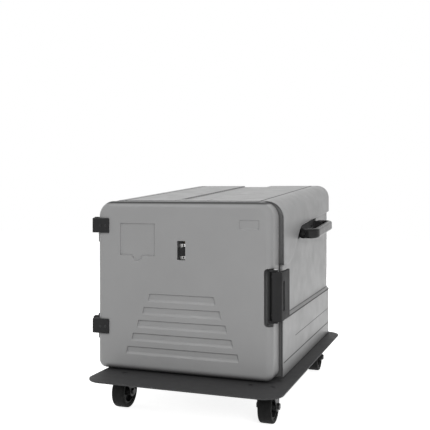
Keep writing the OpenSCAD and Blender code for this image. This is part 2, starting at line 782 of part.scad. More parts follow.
// Lever: front pad, rounded corner and the side arm with its finger slot
module latch_lever() color(black_color) on_deck() {
    outer = side_x + 11.5;
    arm_in = side_x + 3;
    arm_end = rim_y + 20;
    lo = latch_z + face_gap;
    hi = latch_z + latch_h - face_gap;
    hub_r = 5.2;
    corner_r = 5;
    slot_r = 7;
    slot_y = 20.5;
    slot_z = (lo + hi) / 2 - latch_slot_h / 2;
    difference() {
        translate([0, 0, lo]) linear_extrude(hi - lo) {
            // pad, hub and arm, joined by a block with a rounded front corner
            rect(latch_left, -5, outer - corner_r, 4);
            rect(latch_x, -5 + corner_r, outer, 11);
            translate([outer - corner_r, -5 + corner_r]) circle(corner_r);
            translate([latch_x, latch_y]) circle(hub_r);
            polygon([[outer - 6, 2], [outer, 10], [arm_in + latch_arm_t, arm_end], [arm_in, arm_end],
                [arm_in - 1.2, arm_end - 4], [arm_in - 1.2, arm_end - 8], [arm_in, arm_end - 12],
                [arm_in, 10], [arm_in - 2, 4]]);
        }
        rod_z(latch_x, latch_y, latch_pin_r + run_gap, lo - 1, hi + 1);
        // finger slot, with round ends
        for (z = [slot_z + slot_r, slot_z + latch_slot_h - slot_r])
            translate([latch_x, slot_y, z]) rotate([0, 90, 0]) cylinder(r = slot_r, h = 2 * (outer - latch_x));
        box([latch_x, slot_y - slot_r, slot_z + slot_r],
            [2 * outer - latch_x, slot_y + slot_r, slot_z + latch_slot_h - slot_r]);
    }
}

// Keeper plate on the recessed side panel behind the lever's bead
module latch_keeper() color(steel_color) on_deck() {
    top_x = side_x + 1.4;
    end_in = 8;
    wall_w = 10;
    keep_z = [latch_z + end_in, latch_z + latch_h - end_in];
    difference() {
        union() {
            box([panel_x, keeper_y, keep_z[0]], [top_x, keeper_y + wall_w, keep_z[1]]);
            box([panel_x, keeper_y, keep_z[0]], [panel_x + keeper_t, keeper_y + keeper_w, keep_z[1]]);
        }
        for (z = keeper_screw_z) translate([panel_x - 1, keeper_screw_y, z]) rotate([0, 90, 0])
            cylinder(r = 2.1, h = 5);
    }
}
keeper_y = rim_y + 4;
keeper_w = 28;
keeper_t = 3;
keeper_screw_y = keeper_y + 19;
keeper_screw_z = [latch_z + 22, latch_z + latch_h - 22];

// ---------------------------------------------------------------- carry handles

bracket_t = 3.5;
handle_pivot_x = panel_x + bracket_t + handle_h / 2 + 0.5;
handle_half = handle_len / 2;

// Puts children in the frame of the right handle: X out, Y along the sloping pivot
module at_handle() translate([handle_pivot_x, handle_y, handle_pivot_z]) rotate([top_slope, 0, 0]) children();

bail_bend = handle_t + 11;        // outer radius of the bail's corners

// Section of the bail, on its middle line
module bail_section() round_rect(-handle_t / 2, -handle_h / 2, handle_t / 2, handle_h / 2,
    handle_round, handle_round);

// Bail: two arms, two bent corners and the grip, swung about the pivot line
module handle_bail() at_handle() {
    scallop_r = 32;
    scallop_depth = 2;
    difference() {
        union() {
            for (s = [-1, 1]) {
                translate([0, s * (handle_half - handle_t / 2), 0]) {
                    along_x(0, handle_reach - bail_bend) bail_section();
                    rotate([90, 0, 0]) cylinder(r = handle_h / 2, h = handle_t, center = true);
                }
                translate([handle_reach - bail_bend, s * (handle_half - bail_bend), 0]) bail_corner(s);
            }
            translate([handle_reach - handle_t / 2, 0, 0])
                along_y(bail_bend - handle_half, handle_half - bail_bend) bail_section();
        }
        // shallow finger scallops under the grip
        for (i = [-2:2])
            translate([handle_reach - handle_t / 2, i * 24, scallop_depth - handle_h / 2 - scallop_r])
                rotate([0, 90, 0]) cylinder(r = scallop_r, h = handle_t + 2, center = true);
        rotate([90, 0, 0]) cylinder(r = handle_pin_r + run_gap, h = handle_len + 2, center = true);
    }
}

// Quarter bend of the bail's section, on the side given by s
module bail_corner(s) intersection() {
    rotate_extrude() translate([bail_bend - handle_t / 2, 0]) bail_section();
    box([0, s > 0 ? 0 : -bail_bend - 1, -handle_h], [bail_bend + 1, s > 0 ? bail_bend + 1 : 0, handle_h]);
}

// Black backing plate that fills the upper front part of the recess
module bracket_plate() {
    front = 45;
    back = 4;
    below = handle_h / 2 + 1;
    intersection() {
        along_x(panel_x, panel_x + bracket_t) recess_outline(-0.3);
        at_handle() translate([-reach / 2, -handle_half - front, -below])
            cube([reach, handle_len + front + back, reach]);
    }
}

// Bracket on the recessed panel with the ears between which the bail turns
module handle_bracket_body() {
    ear_t = 7;
    inner = handle_half - handle_t - face_gap;
    difference() {
        union() {
            bracket_plate();
            at_handle() for (s = [-1, 1]) translate([0, s * (inner - ear_t / 2), 0]) {
                rotate([90, 0, 0]) cylinder(r = handle_h / 2 - 1, h = ear_t, center = true);
                translate([panel_x - handle_pivot_x, -ear_t / 2, -handle_h / 2 + 1])
                    cube([handle_pivot_x - panel_x, ear_t, handle_h - 2]);
            }
        }
        at_handle() rotate([90, 0, 0]) cylinder(r = handle_pin_r, h = handle_len, center = true);
        at_handle() for (y = handle_screw_y) translate([panel_x - handle_pivot_x - 1, y, 0])
            rotate([0, 90, 0]) cylinder(r = 2.1, h = bracket_t + 2);
    }
}
handle_screw_y = [-52, 52];

// Short pins, one through each ear and arm
module handle_pin_pair() at_handle() {
    inner = handle_half - handle_t - face_gap - 7;
    for (s = [-1, 1]) translate([0, s * (inner + handle_half) / 2, 0]) rotate([90, 0, 0])
        cylinder(r = handle_pin_r, h = handle_half - inner, center = true);
}

module handle_right() color(black_color) on_deck() handle_bail();
module handle_left() color(black_color) on_deck() mirror([1, 0, 0]) handle_bail();
module handle_bracket_right() color(black_color) on_deck() handle_bracket_body();
module handle_bracket_left() color(black_color) on_deck() mirror([1, 0, 0]) handle_bracket_body();
module handle_pins_right() color(steel_color) on_deck() handle_pin_pair();
module handle_pins_left() color(steel_color) on_deck() mirror([1, 0, 0]) handle_pin_pair();

// ---------------------------------------------------------------- screws

screw_len = 12;

// Screws of the body: hinge leaves, latch keeper and handle brackets
module at_body_screws() {
    for (z = hinge_levels, dz = [hinge_h * 0.25, hinge_h * 0.75])
        translate([boss_x, leaf_screw_y, z + dz]) rotate([0, -90, 0]) children();
    for (z = keeper_screw_z) translate([panel_x + keeper_t, keeper_screw_y, z]) rotate([0, 90, 0]) children();
    for (s = [0, 1]) mirror([s, 0, 0]) at_handle() for (y = handle_screw_y)
        translate([panel_x - handle_pivot_x + bracket_t, y, 0]) rotate([0, 90, 0]) children();
}
module body_screws() color(steel_color) on_deck() at_body_screws() pan_screw(2, screw_len, 4, 2);
module screw_holes() at_body_screws() translate([0, 0, -screw_len - 1]) cylinder(r = 2, h = screw_len + 1);

// Screws of the door: hinge leaves, latch base and vent plate
module at_door_screws() {
    for (z = hinge_levels, x = door_leaf_screw_x)
        translate([x, -hinge_plate_t, z + hinge_h / 2]) rotate([90, 0, 0]) children();
}
// Screws that stay level with their plates, where the slider and the lever pass
module at_flush_screws() {
    for (z = vent_screw_z) translate([vent_x, vent_floor - vent_plate_t, z]) rotate([90, 0, 0]) children();
    for (z = latch_screw_z) translate([latch_screw_x, latch_pocket_depth - latch_base_t, z]) rotate([90, 0, 0])
        children();
}

// Small countersunk screw, level with z = 0
module flush_screw() {
    shank_r = 1.2;
    translate([0, 0, -8]) cylinder(r = shank_r, h = 8);
    translate([0, 0, -shank_r]) cylinder(r1 = shank_r, r2 = 2 * shank_r, h = shank_r);
}
module door_screws() color(steel_color) on_deck() {
    at_door_screws() pan_screw(1.8, screw_len, 3.4, 1.6);
    at_flush_screws() flush_screw();
}
module door_screw_holes() {
    at_door_screws() translate([0, 0, -screw_len - 1]) cylinder(r = 1.8, h = screw_len + 1);
    at_flush_screws() flush_screw();
}

// ---------------------------------------------------------------- dolly

caster_places = [
    [-kingpin_x, -deck_l / 2 + kingpin_inset_y], [kingpin_x, -deck_l / 2 + kingpin_inset_y],
    [-kingpin_x, deck_l / 2 - kingpin_inset_y], [kingpin_x, deck_l / 2 - kingpin_inset_y]];
caster_plate_t = 3;
caster_bolt_r = 3;
fork_gap = 4;

module at_caster(i) translate([caster_shift + caster_places[i][0], caster_places[i][1], 0]) children();

// Bolt places of one caster, about its kingpin
module at_caster_bolts() for (x = [-1, 1], y = [-1, 1])
    translate([x * caster_hole_pitch / 2, y * caster_hole_pitch / 2, 0]) children();

// Flat deck with round corners, drilled for the casters and the studs
module deck_plate() color([0.25, 0.25, 0.26]) difference() {
    translate([deck_shift, 0, caster_h]) linear_extrude(deck_t)
        round_rect(-deck_w / 2, -deck_l / 2, deck_w / 2, deck_l / 2, deck_r, deck_r);
    for (i = [0:3]) at_caster(i) at_caster_bolts() {
        translate([0, 0, caster_h - 1]) cylinder(r = caster_bolt_r, h = deck_t + 2);
        countersink();
    }
    for (x = [-stud_x, stud_x], y = stud_y) translate([x, carrier_y + y, caster_h - 1])
        cylinder(r = 3.2, h = deck_t + 2);
}

// Domed studs that keep the carrier from sliding on the deck
module locating_studs() color(black_color)
    for (x = [-stud_x, stud_x], y = stud_y) translate([x, carrier_y + y, deck_top]) {
        cylinder(r = stud_r, h = stud_h - 3);
        translate([0, 0, stud_h - 3 - eps]) cylinder(r1 = stud_r, r2 = stud_r - 3, h = 3);
        translate([0, 0, -deck_t - 1]) cylinder(r = 3, h = deck_t + 2);
    }

// Low-head bolts down through the deck and the caster plates
module caster_bolts() color(black_color) for (i = [0:3]) at_caster(i) at_caster_bolts() {
    tip = 7;
    translate([0, 0, caster_h - caster_plate_t - tip])
        cylinder(r = caster_bolt_r, h = deck_t + caster_plate_t + tip);
    countersink();
}

// Cone of a flush bolt head, level with the deck
module countersink() translate([0, 0, deck_top - 3])
    cylinder(r1 = caster_bolt_r, r2 = caster_bolt_r + 3, h = 3);

module caster_nuts() color(steel_color) for (i = [0:3]) at_caster(i) at_caster_bolts() {
    nut_h = 5;
    translate([0, 0, caster_h - caster_plate_t - nut_h]) difference() {
        cylinder(r = 2 * caster_bolt_r, h = nut_h, $fn = 6);
        translate([0, 0, -1]) cylinder(r = caster_bolt_r, h = nut_h + 2);
    }
}

// Mounting plate with the upper race of the swivel and its kingpin
module caster_plate(i) at_caster(i) {
    race_r = 24;
    z0 = caster_h - caster_plate_t;
    difference() {
        union() {
            translate([0, 0, z0]) linear_extrude(caster_plate_t) round_rect(-caster_plate_w / 2,
                -caster_plate_w / 2, caster_plate_w / 2, caster_plate_w / 2, 6, 6);
            translate([0, 0, z0 - fork_gap]) cylinder(r1 = race_r - 3, r2 = race_r, h = fork_gap + eps);
        }
        at_caster_bolts() translate([0, 0, z0 - 1]) cylinder(r = caster_bolt_r, h = caster_plate_t + 2);
    }
    // kingpin with its riveted foot
    translate([0, 0, z0 - fork_gap - fork_t - 1.2]) cylinder(r = kingpin_r, h = fork_gap + fork_t + 1.2);
    translate([0, 0, z0 - fork_gap - fork_t - 4]) cylinder(r = kingpin_r + 3.5, h = 3);
}

fork_half = wheel_w / 2 + 3;
fork_top_z = caster_h - caster_plate_t - fork_gap - face_gap;
axle_z = wheel_d / 2;

// Pressed fork: round crown, two raked legs and their axle holes
module caster_fork(i) at_caster(i) {
    crown_r = 27;
    leg_r = 12;
    difference() {
        union() {
            translate([0, 0, fork_top_z - fork_t]) cylinder(r = crown_r, h = fork_t);
            for (s = [-1, 1]) translate([s * (fork_half + fork_t / 2), 0, 0]) along_x(-fork_t / 2, fork_t / 2) {
                polygon([[-14, fork_top_z], [20, fork_top_z], [caster_trail + leg_r, axle_z + 3],
                    [caster_trail + leg_r - 3, axle_z - 8], [caster_trail - leg_r + 3, axle_z - 8],
                    [caster_trail - leg_r, axle_z + 4]]);
                translate([caster_trail, axle_z]) circle(leg_r);
            }
        }
        translate([0, 0, fork_top_z - fork_t - 1]) cylinder(r = kingpin_r + run_gap, h = fork_t + 2);
        // the legs stay clear of the rivet foot and of the upper race
        translate([0, 0, fork_top_z - fork_t - 6]) cylinder(r = kingpin_r + 5, h = 6 + eps);
        rotate([0, 90, 0]) translate([-axle_z, caster_trail, -reach / 2]) cylinder(r = axle_r, h = reach);
    }
}

// Axle bolt with its head and nut
module caster_axle(i) at_caster(i) translate([0, caster_trail, axle_z]) rotate([0, 90, 0]) {
    half = fork_half + fork_t;
    cylinder(r = axle_r, h = 2 * half + 5, center = true);
    translate([0, 0, half]) cylinder(r = 8, h = 5, $fn = 6);
    translate([0, 0, -half - 5]) cylinder(r = 8, h = 5, $fn = 6);
}

tyre_t = 11;
hub_half = wheel_w / 2 + 2;

// Hub: rim, web and bearing boss, turned in one piece
module wheel_hub(i) at_caster(i) translate([0, caster_trail, axle_z]) rotate([0, 90, 0])
    rotate_extrude() {
        rim = wheel_d / 2 - tyre_t;
        polygon([
            [axle_r + run_gap, -hub_half], [axle_r + 5, -hub_half], [axle_r + 6, -4], [rim - 5, -3],
            [rim - 3, -wheel_w / 2 + 3], [rim, -wheel_w / 2 + 3], [rim, wheel_w / 2 - 3],
            [rim - 3, wheel_w / 2 - 3], [rim - 5, 3], [axle_r + 6, 4], [axle_r + 5, hub_half],
            [axle_r + run_gap, hub_half]]);
    }

// Tyre with a crowned tread
module wheel_tyre(i) at_caster(i) translate([0, caster_trail, axle_z]) rotate([0, 90, 0])
    rotate_extrude() {
        rim = wheel_d / 2 - tyre_t;
        r = wheel_d / 2;
        w = wheel_w / 2;
        polygon([
            [rim, -w + 3], [rim + 1, -w + 1], [r - 4, -w], [r - 1.6, -w + 0.7], [r - 0.4, -w + 2.4],
            [r, -w + 5], [r, w - 5],
            [r - 0.4, w - 2.4], [r - 1.6, w - 0.7], [r - 4, w], [rim + 1, w - 1], [rim, w - 3]]);
    }

module caster_plate_front_left() color(black_color) caster_plate(0);
module caster_plate_front_right() color(black_color) caster_plate(1);
module caster_plate_rear_left() color(black_color) caster_plate(2);
module caster_plate_rear_right() color(black_color) caster_plate(3);
module caster_fork_front_left() color(black_color) caster_fork(0);
module caster_fork_front_right() color(black_color) caster_fork(1);
module caster_fork_rear_left() color(black_color) caster_fork(2);
module caster_fork_rear_right() color(black_color) caster_fork(3);
module caster_axle_front_left() color(steel_color) caster_axle(0);
module caster_axle_front_right() color(steel_color) caster_axle(1);
module caster_axle_rear_left() color(steel_color) caster_axle(2);
module caster_axle_rear_right() color(steel_color) caster_axle(3);
module wheel_hub_front_left() color(black_color) wheel_hub(0);
module wheel_hub_front_right() color(black_color) wheel_hub(1);
module wheel_hub_rear_left() color(black_color) wheel_hub(2);
module wheel_hub_rear_right() color(black_color) wheel_hub(3);
module wheel_tyre_front_left() color([0.1, 0.1, 0.1]) wheel_tyre(0);
module wheel_tyre_front_right() color([0.1, 0.1, 0.1]) wheel_tyre(1);
module wheel_tyre_rear_left() color([0.1, 0.1, 0.1]) wheel_tyre(2);
module wheel_tyre_rear_right() color([0.1, 0.1, 0.1]) wheel_tyre(3);

// ---------------------------------------------------------------- the part

deck_plate();
locating_studs();
caster_bolts();
caster_nuts();
caster_plate_front_left();
caster_plate_front_right();
caster_plate_rear_left();
caster_plate_rear_right();
caster_fork_front_left();
caster_fork_front_right();
caster_fork_rear_left();
caster_fork_rear_right();
caster_axle_front_left();
caster_axle_front_right();
caster_axle_rear_left();
caster_axle_rear_right();
wheel_hub_front_left();
wheel_hub_front_right();
wheel_hub_rear_left();
wheel_hub_rear_right();
wheel_tyre_front_left();
wheel_tyre_front_right();
wheel_tyre_rear_left();
wheel_tyre_rear_right();
outer_shell();
insulation();
inner_liner();
pan_rail_left();
pan_rail_right();
hinge_body_leaf_lower();
hinge_body_leaf_upper();
hinge_pins();
body_screws();
latch_keeper();
handle_bracket_left();
handle_bracket_right();
handle_pins_left();
handle_pins_right();
handle_left();
handle_right();
door_skin();
door_insulation();
door_liner();
door_gasket();
hinge_door_leaf_lower();
hinge_door_leaf_upper();
door_screws();
vent_plate();
vent_slider();
latch_base();
latch_pin();
latch_lever();
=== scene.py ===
"""Looks of a front-loading insulated food carrier that stands on a caster dolly.

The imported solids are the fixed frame. Moulded pieces are reshaped from their solids with the soft
edges that a mould leaves, sheet metal and fasteners keep their solids, and every surface gets a
procedural finish.
"""

import json
import logging
import math
from dataclasses import dataclass
from enum import Enum

import bmesh
import bpy
from mathutils import Matrix, Vector

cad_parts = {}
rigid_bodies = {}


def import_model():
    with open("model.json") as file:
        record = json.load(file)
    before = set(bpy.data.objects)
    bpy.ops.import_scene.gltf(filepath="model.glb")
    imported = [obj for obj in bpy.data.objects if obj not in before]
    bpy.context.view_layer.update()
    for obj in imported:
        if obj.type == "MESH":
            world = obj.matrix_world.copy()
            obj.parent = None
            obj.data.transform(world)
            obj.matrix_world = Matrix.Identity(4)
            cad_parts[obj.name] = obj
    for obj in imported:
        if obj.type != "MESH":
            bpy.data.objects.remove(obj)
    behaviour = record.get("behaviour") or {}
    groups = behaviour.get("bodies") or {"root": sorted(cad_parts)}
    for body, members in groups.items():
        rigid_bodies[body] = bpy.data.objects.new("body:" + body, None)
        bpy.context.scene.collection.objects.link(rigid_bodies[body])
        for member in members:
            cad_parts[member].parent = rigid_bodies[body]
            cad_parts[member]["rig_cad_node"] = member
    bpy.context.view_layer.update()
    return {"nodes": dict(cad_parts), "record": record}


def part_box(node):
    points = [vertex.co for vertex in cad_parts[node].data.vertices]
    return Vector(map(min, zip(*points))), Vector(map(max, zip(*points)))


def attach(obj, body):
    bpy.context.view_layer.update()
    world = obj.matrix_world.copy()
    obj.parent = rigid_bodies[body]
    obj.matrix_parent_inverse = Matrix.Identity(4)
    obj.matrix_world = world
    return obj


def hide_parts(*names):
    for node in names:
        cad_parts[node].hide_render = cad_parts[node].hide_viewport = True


logging.basicConfig(level=logging.INFO, format="%(message)s")
log = logging.getLogger("carrier")

Colour = tuple[float, float, float]
Point = tuple[float, float, float]
Factors = tuple[float, float, float]
Socket = bpy.types.NodeSocket

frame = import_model()
BODY = {
    node: body for body, nodes in frame["record"]["behaviour"]["bodies"].items() for node in nodes
}

# Corners of a mesh that lie nearer than this are one corner, in metres.
WELD = 1e-6
# Most of a noise pattern's values lie between these two.
NOISE_LOW = 0.3
NOISE_HIGH = 0.7
WHITE = (1.0, 1.0, 1.0, 1.0)


class Slot(Enum):
    """The record's material slots."""

    DECK = "deck"
    BLACK_STEEL = "black_steel"
    ZINC = "zinc"
    STAINLESS = "stainless"
    SHELL_PLASTIC = "shell_plastic"
    LINER_PLASTIC = "liner_plastic"
    FOAM = "foam"
    BLACK_PLASTIC = "black_plastic"
    BLACK_GLOSS = "black_gloss"
    GASKET_RUBBER = "gasket_rubber"
    STUD_RUBBER = "stud_rubber"
    VENT_METAL = "vent_metal"
    HUB_PLASTIC = "hub_plastic"
    TREAD_RUBBER = "tread_rubber"


class Side(Enum):
    """The two flanks of the carrier."""

    LEFT = "left"
    RIGHT = "right"


class Corner(Enum):
    """The dolly's four caster places."""

    FRONT_LEFT = "front_left"
    FRONT_RIGHT = "front_right"
    REAR_LEFT = "rear_left"
    REAR_RIGHT = "rear_right"


class Axis(Enum):
    """The frame's axes, by their place in a point."""

    X = 0
    Y = 1
    Z = 2


class Operation(Enum):
    """What a math node does with its values."""

    TIMES = "MULTIPLY"
    GREATER = "MAXIMUM"
    LESS = "SUBTRACT"
    SIZE = "ABSOLUTE"


# ---------------------------------------------------------------- finishes


@dataclass(frozen=True)
class ShadeLine:
    """A narrow moulded line, on both sides alike, darkened with painted shade.

    Args:
        across: Axis across the line.
        place: Its distance from zero on that axis, in metres.
        half: Half of its width in metres.
        facing: Axis that the face around it looks along.
        start: Y at which it starts, in metres.
        stop: Y at which it stops, in metres.
        reach: If set, it gets painted shade only where a neighbour stands nearer than this, in
            metres.
        rounding: Whether it lies on a rounding, and the flat beyond stays free of painted shade.
    """

    across: Axis
    place: float
    half: float
    facing: Axis
    start: float
    stop: float = 1.0
    reach: float = 0.0
    rounding: bool = False


class Shading:
    """One material's node tree, with short helpers for its nodes."""

    # Pointiness of a flat face, and of an edge that counts as fully worn.
    FLAT_POINTINESS = 0.505
    WORN_POINTINESS = 0.56
    # Open share of the view where there is no painted shade, and where the painted shade is
    # darkest.
    UNSHADED_OPENNESS = 0.88
    DARKEST_SHADE_OPENNESS = 0.3
    OPENNESS_SAMPLES = 10
    ROUNDING_SAMPLES = 4
    # Turn of a rounded normal away from the face's own, as their dot product.
    FLAT_TURN = 0.99
    RIM_TURN = 0.9
    # Square of a normal's share along an axis: where a face starts and fully counts as looking
    # along it, and where the flat beyond a rounding starts and is reached.
    FACING = (0.2, 0.5)
    FLAT_BEYOND = (0.93, 0.99)
    # A line's painted shade: full and gone distance as shares of its half width, length of its
    # ends in metres, and openness below which the lines that need a neighbour get full painted
    # shade.
    FULL_SHARE = 0.6
    UNSHADED_SHARE = 1.5
    LINE_END = 0.001
    LINE_OPENNESS = 0.62

    def __init__(self, name: str) -> None:
        """Starts a material with an empty principled shader.

        Args:
            name: The material's name.
        """
        self.material = bpy.data.materials.new(name)
        self.material.use_nodes = True
        self.tree = self.material.node_tree
        self.tree.nodes.clear()
        self.shader = self.tree.nodes.new("ShaderNodeBsdfPrincipled")
        output = self.tree.nodes.new("ShaderNodeOutputMaterial")
        self.tree.links.new(self.shader.outputs["BSDF"], output.inputs["Surface"])
        self.place = self.tree.nodes.new("ShaderNodeTexCoord").outputs["Object"]

    def link(self, source: Socket, target: Socket) -> None:
        """Joins an output to an input."""
        self.tree.links.new(source, target)

    def constant(self, **values: float) -> None:
        """Sets numbers that are the same all over the surface.

        Args:
            **values: Socket names with _ for each space, and their values.
        """
        for socket, value in values.items():
            self.shader.inputs[socket.replace("_", " ")].default_value = value

    def stretched(self, stretch: Factors) -> Socket:
        """Object coordinates scaled by a factor for each axis.

        Args:
            stretch: The factors along X, Y and Z.

        Returns:
            The scaled coordinates.
        """
        mapping = self.tree.nodes.new("ShaderNodeMapping")
        mapping.inputs["Scale"].default_value = stretch
        self.link(self.place, mapping.inputs["Vector"])
        return mapping.outputs["Vector"]

    def noise(
        self,
        scale: float,
        detail: float = 3.0,
        rough: float = 0.5,
        stretch: Factors = (1.0, 1.0, 1.0),
    ) -> Socket:
        """A noise pattern in object space.

        Args:
            scale: Features per metre.
            detail: Octaves.
            rough: Strength of the finer octaves.
            stretch: Extra factors along X, Y and Z.

        Returns:
            The pattern's value, about 0.5.
        """
        node = self.tree.nodes.new("ShaderNodeTexNoise")
        node.inputs["Scale"].default_value = scale
        node.inputs["Detail"].default_value = detail
        node.inputs["Roughness"].default_value = rough
        self.link(self.stretched(stretch), node.inputs["Vector"])
        return node.outputs["Fac"]

    def cells(self, scale: float) -> Socket:
        """A cell pattern in object space.

        Args:
            scale: Cells per metre.

        Returns:
            The distance from each cell's middle.
        """
        node = self.tree.nodes.new("ShaderNodeTexVoronoi")
        node.inputs["Scale"].default_value = scale
        self.link(self.place, node.inputs["Vector"])
        return node.outputs["Distance"]

    def remap(
        self, source: Socket, low: float, high: float, to_low: float = 0.0, to_high: float = 1.0
    ) -> Socket:
        """Stretches a range of values to another, clamped.

        Args:
            source: The value.
            low: Value that becomes to_low.
            high: Value that becomes to_high.
            to_low: Result at low.
            to_high: Result at high.

        Returns:
            The new value.
        """
        node = self.tree.nodes.new("ShaderNodeMapRange")
        for socket, value in zip(node.inputs[1:5], (low, high, to_low, to_high)):
            socket.default_value = value
        self.link(source, node.inputs[0])
        return node.outputs[0]

    def spread(self, pattern: Socket, to_low: float = 0.0, to_high: float = 1.0) -> Socket:
        """Spreads a noise pattern over a range."""
        return self.remap(pattern, NOISE_LOW, NOISE_HIGH, to_low, to_high)

    def mix(self, amount: Socket, first: Socket | Colour, second: Socket | Colour) -> Socket:
        """Mixes two colours.

        Args:
            amount: 0 for the first, 1 for the second.
            first: A colour or a socket that gives one.
            second: A colour or a socket that gives one.

        Returns:
            The mixed colour.
        """
        node = self.tree.nodes.new("ShaderNodeMix")
        node.data_type = "RGBA"
        self.link(amount, node.inputs[0])
        for socket, value in ((node.inputs[6], first), (node.inputs[7], second)):
            if isinstance(value, Socket):
                self.link(value, socket)
            else:
                socket.default_value = (*value, 1.0)
        return node.outputs[2]

    def reckon(self, operation: Operation, *values: Socket | float) -> Socket:
        """Works out a value from others.

        Args:
            operation: What is done.
            *values: Sockets or plain numbers, in order.

        Returns:
            The result.
        """
        node = self.tree.nodes.new("ShaderNodeMath")
        node.operation = operation.value
        for socket, value in zip(node.inputs, values):
            if isinstance(value, Socket):
                self.link(value, socket)
            else:
                socket.default_value = value
        return node.outputs[0]

    def times(self, first: Socket, second: Socket) -> Socket:
        """The product of two values."""
        return self.reckon(Operation.TIMES, first, second)

    def greater(self, first: Socket, second: Socket) -> Socket:
        """The greater of two values."""
        return self.reckon(Operation.GREATER, first, second)

    def distance(self, value: Socket, origin: float) -> Socket:
        """How far a value is from a number."""
        return self.reckon(Operation.SIZE, self.reckon(Operation.LESS, value, origin))

    def normal(self) -> Socket:
        """The face's own normal."""
        return self.tree.nodes.new("ShaderNodeNewGeometry").outputs["Normal"]

    def parts(self, vector: Socket) -> bpy.types.bpy_prop_collection:
        """The X, Y and Z of a vector.

        Args:
            vector: The vector.

        Returns:
            Its three values, in order.
        """
        node = self.tree.nodes.new("ShaderNodeSeparateXYZ")
        self.link(vector, node.inputs[0])
        return node.outputs

    def edges(self) -> Socket:
        """How far a point is out on a raised edge: 0 on flats and 1 where it is fully worn."""
        pointiness = self.tree.nodes.new("ShaderNodeNewGeometry").outputs["Pointiness"]
        return self.remap(pointiness, self.FLAT_POINTINESS, self.WORN_POINTINESS)

    def gap_shade(self, reach: float, full: float = DARKEST_SHADE_OPENNESS) -> Socket:
        """How far a point is shut in by what stands near it, which is where the painted shade goes.

        Args:
            reach: How far off a neighbour still counts, in metres.
            full: Open share of the view at which the painted shade is darkest.

        Returns:
            0 on open faces and 1 in gaps and inner corners.
        """
        node = self.tree.nodes.new("ShaderNodeAmbientOcclusion")
        node.samples = self.OPENNESS_SAMPLES
        node.inputs["Distance"].default_value = reach
        return self.remap(node.outputs["AO"], full, self.UNSHADED_OPENNESS, 1.0, 0.0)

    def line_shade(self, line: ShadeLine) -> Socket:
        """The painted shade in a narrow moulded line.

        Args:
            line: The line.

        Returns:
            0 beside the line and 1 in it.
        """
        point = self.parts(self.place)
        offset = self.distance(self.distance(point[line.across.value], 0.0), line.place)
        full, unshaded = line.half * self.FULL_SHARE, line.half * self.UNSHADED_SHARE
        within = self.remap(offset, full, unshaded, 1.0, 0.0)
        along = self.parts(self.normal())[line.facing.value]
        square = self.times(along, along)
        y = point[Axis.Y.value]
        begun = self.remap(y, line.start - self.LINE_END, line.start + self.LINE_END)
        ended = self.remap(y, line.stop - self.LINE_END, line.stop + self.LINE_END, 1.0, 0.0)
        faced = self.remap(square, *self.FACING)
        if line.rounding:
            faced = self.times(faced, self.remap(square, *self.FLAT_BEYOND, 1.0, 0.0))
        painted_shade = self.times(self.times(within, faced), self.times(begun, ended))
        if line.reach:
            painted_shade = self.times(painted_shade, self.gap_shade(line.reach, self.LINE_OPENNESS))
        return painted_shade

    def bump(
        self, height: Socket, distance: float, strength: float, base: Socket | None = None
    ) -> Socket:
        """Turns a height pattern into a surface normal.

        Args:
            height: The pattern.
            distance: Depth in metres.
            strength: Share of the depth that shows.
            base: Normal that the pattern lies on.

        Returns:
            The new normal.
        """
        node = self.tree.nodes.new("ShaderNodeBump")
        node.inputs["Distance"].default_value = distance
        node.inputs["Strength"].default_value = strength
        self.link(height, node.inputs["Height"])
        if base is not None:
            self.link(base, node.inputs["Normal"])
        return node.outputs["Normal"]

    def rounded(self, radius: float) -> Socket | None:
        """A normal that rounds sharp edges.

        Args:
            radius: The radius in metres.

        Returns:
            The normal, or None at radius 0.
        """
        if radius <= 0:
            return None
        node = self.tree.nodes.new("ShaderNodeBevel")
        node.samples = self.ROUNDING_SAMPLES
        node.inputs["Radius"].default_value = radius
        return node.outputs["Normal"]

    def rims(self, radius: float) -> Socket:
        """How near a point is to a sharp edge, on a mesh of any fineness.

        Args:
            radius: Distance from the edge that still counts, in metres.

        Returns:
            0 on flats and 1 on edges.
        """
        turn = self.tree.nodes.new("ShaderNodeVectorMath")
        turn.operation = "DOT_PRODUCT"
        self.link(self.rounded(radius), turn.inputs[0])
        self.link(self.normal(), turn.inputs[1])
        return self.remap(turn.outputs["Value"], self.FLAT_TURN, self.RIM_TURN)

    def wire(self, colour: Socket, roughness: Socket, normal: Socket) -> bpy.types.Material:
        """Joins the finished colour, roughness and normal to the shader.

        Args:
            colour: The surface's colour.
            roughness: Its roughness.
            normal: Its normal.

        Returns:
            The material.
        """
        self.link(colour, self.shader.inputs["Base Color"])
        self.link(roughness, self.shader.inputs["Roughness"])
        self.link(normal, self.shader.inputs["Normal"])
        return self.material


def shade(colour: Colour, factor: float) -> Colour:
    """A colour made lighter or darker by a factor."""
    return tuple(min(1.0, c * factor) for c in colour)


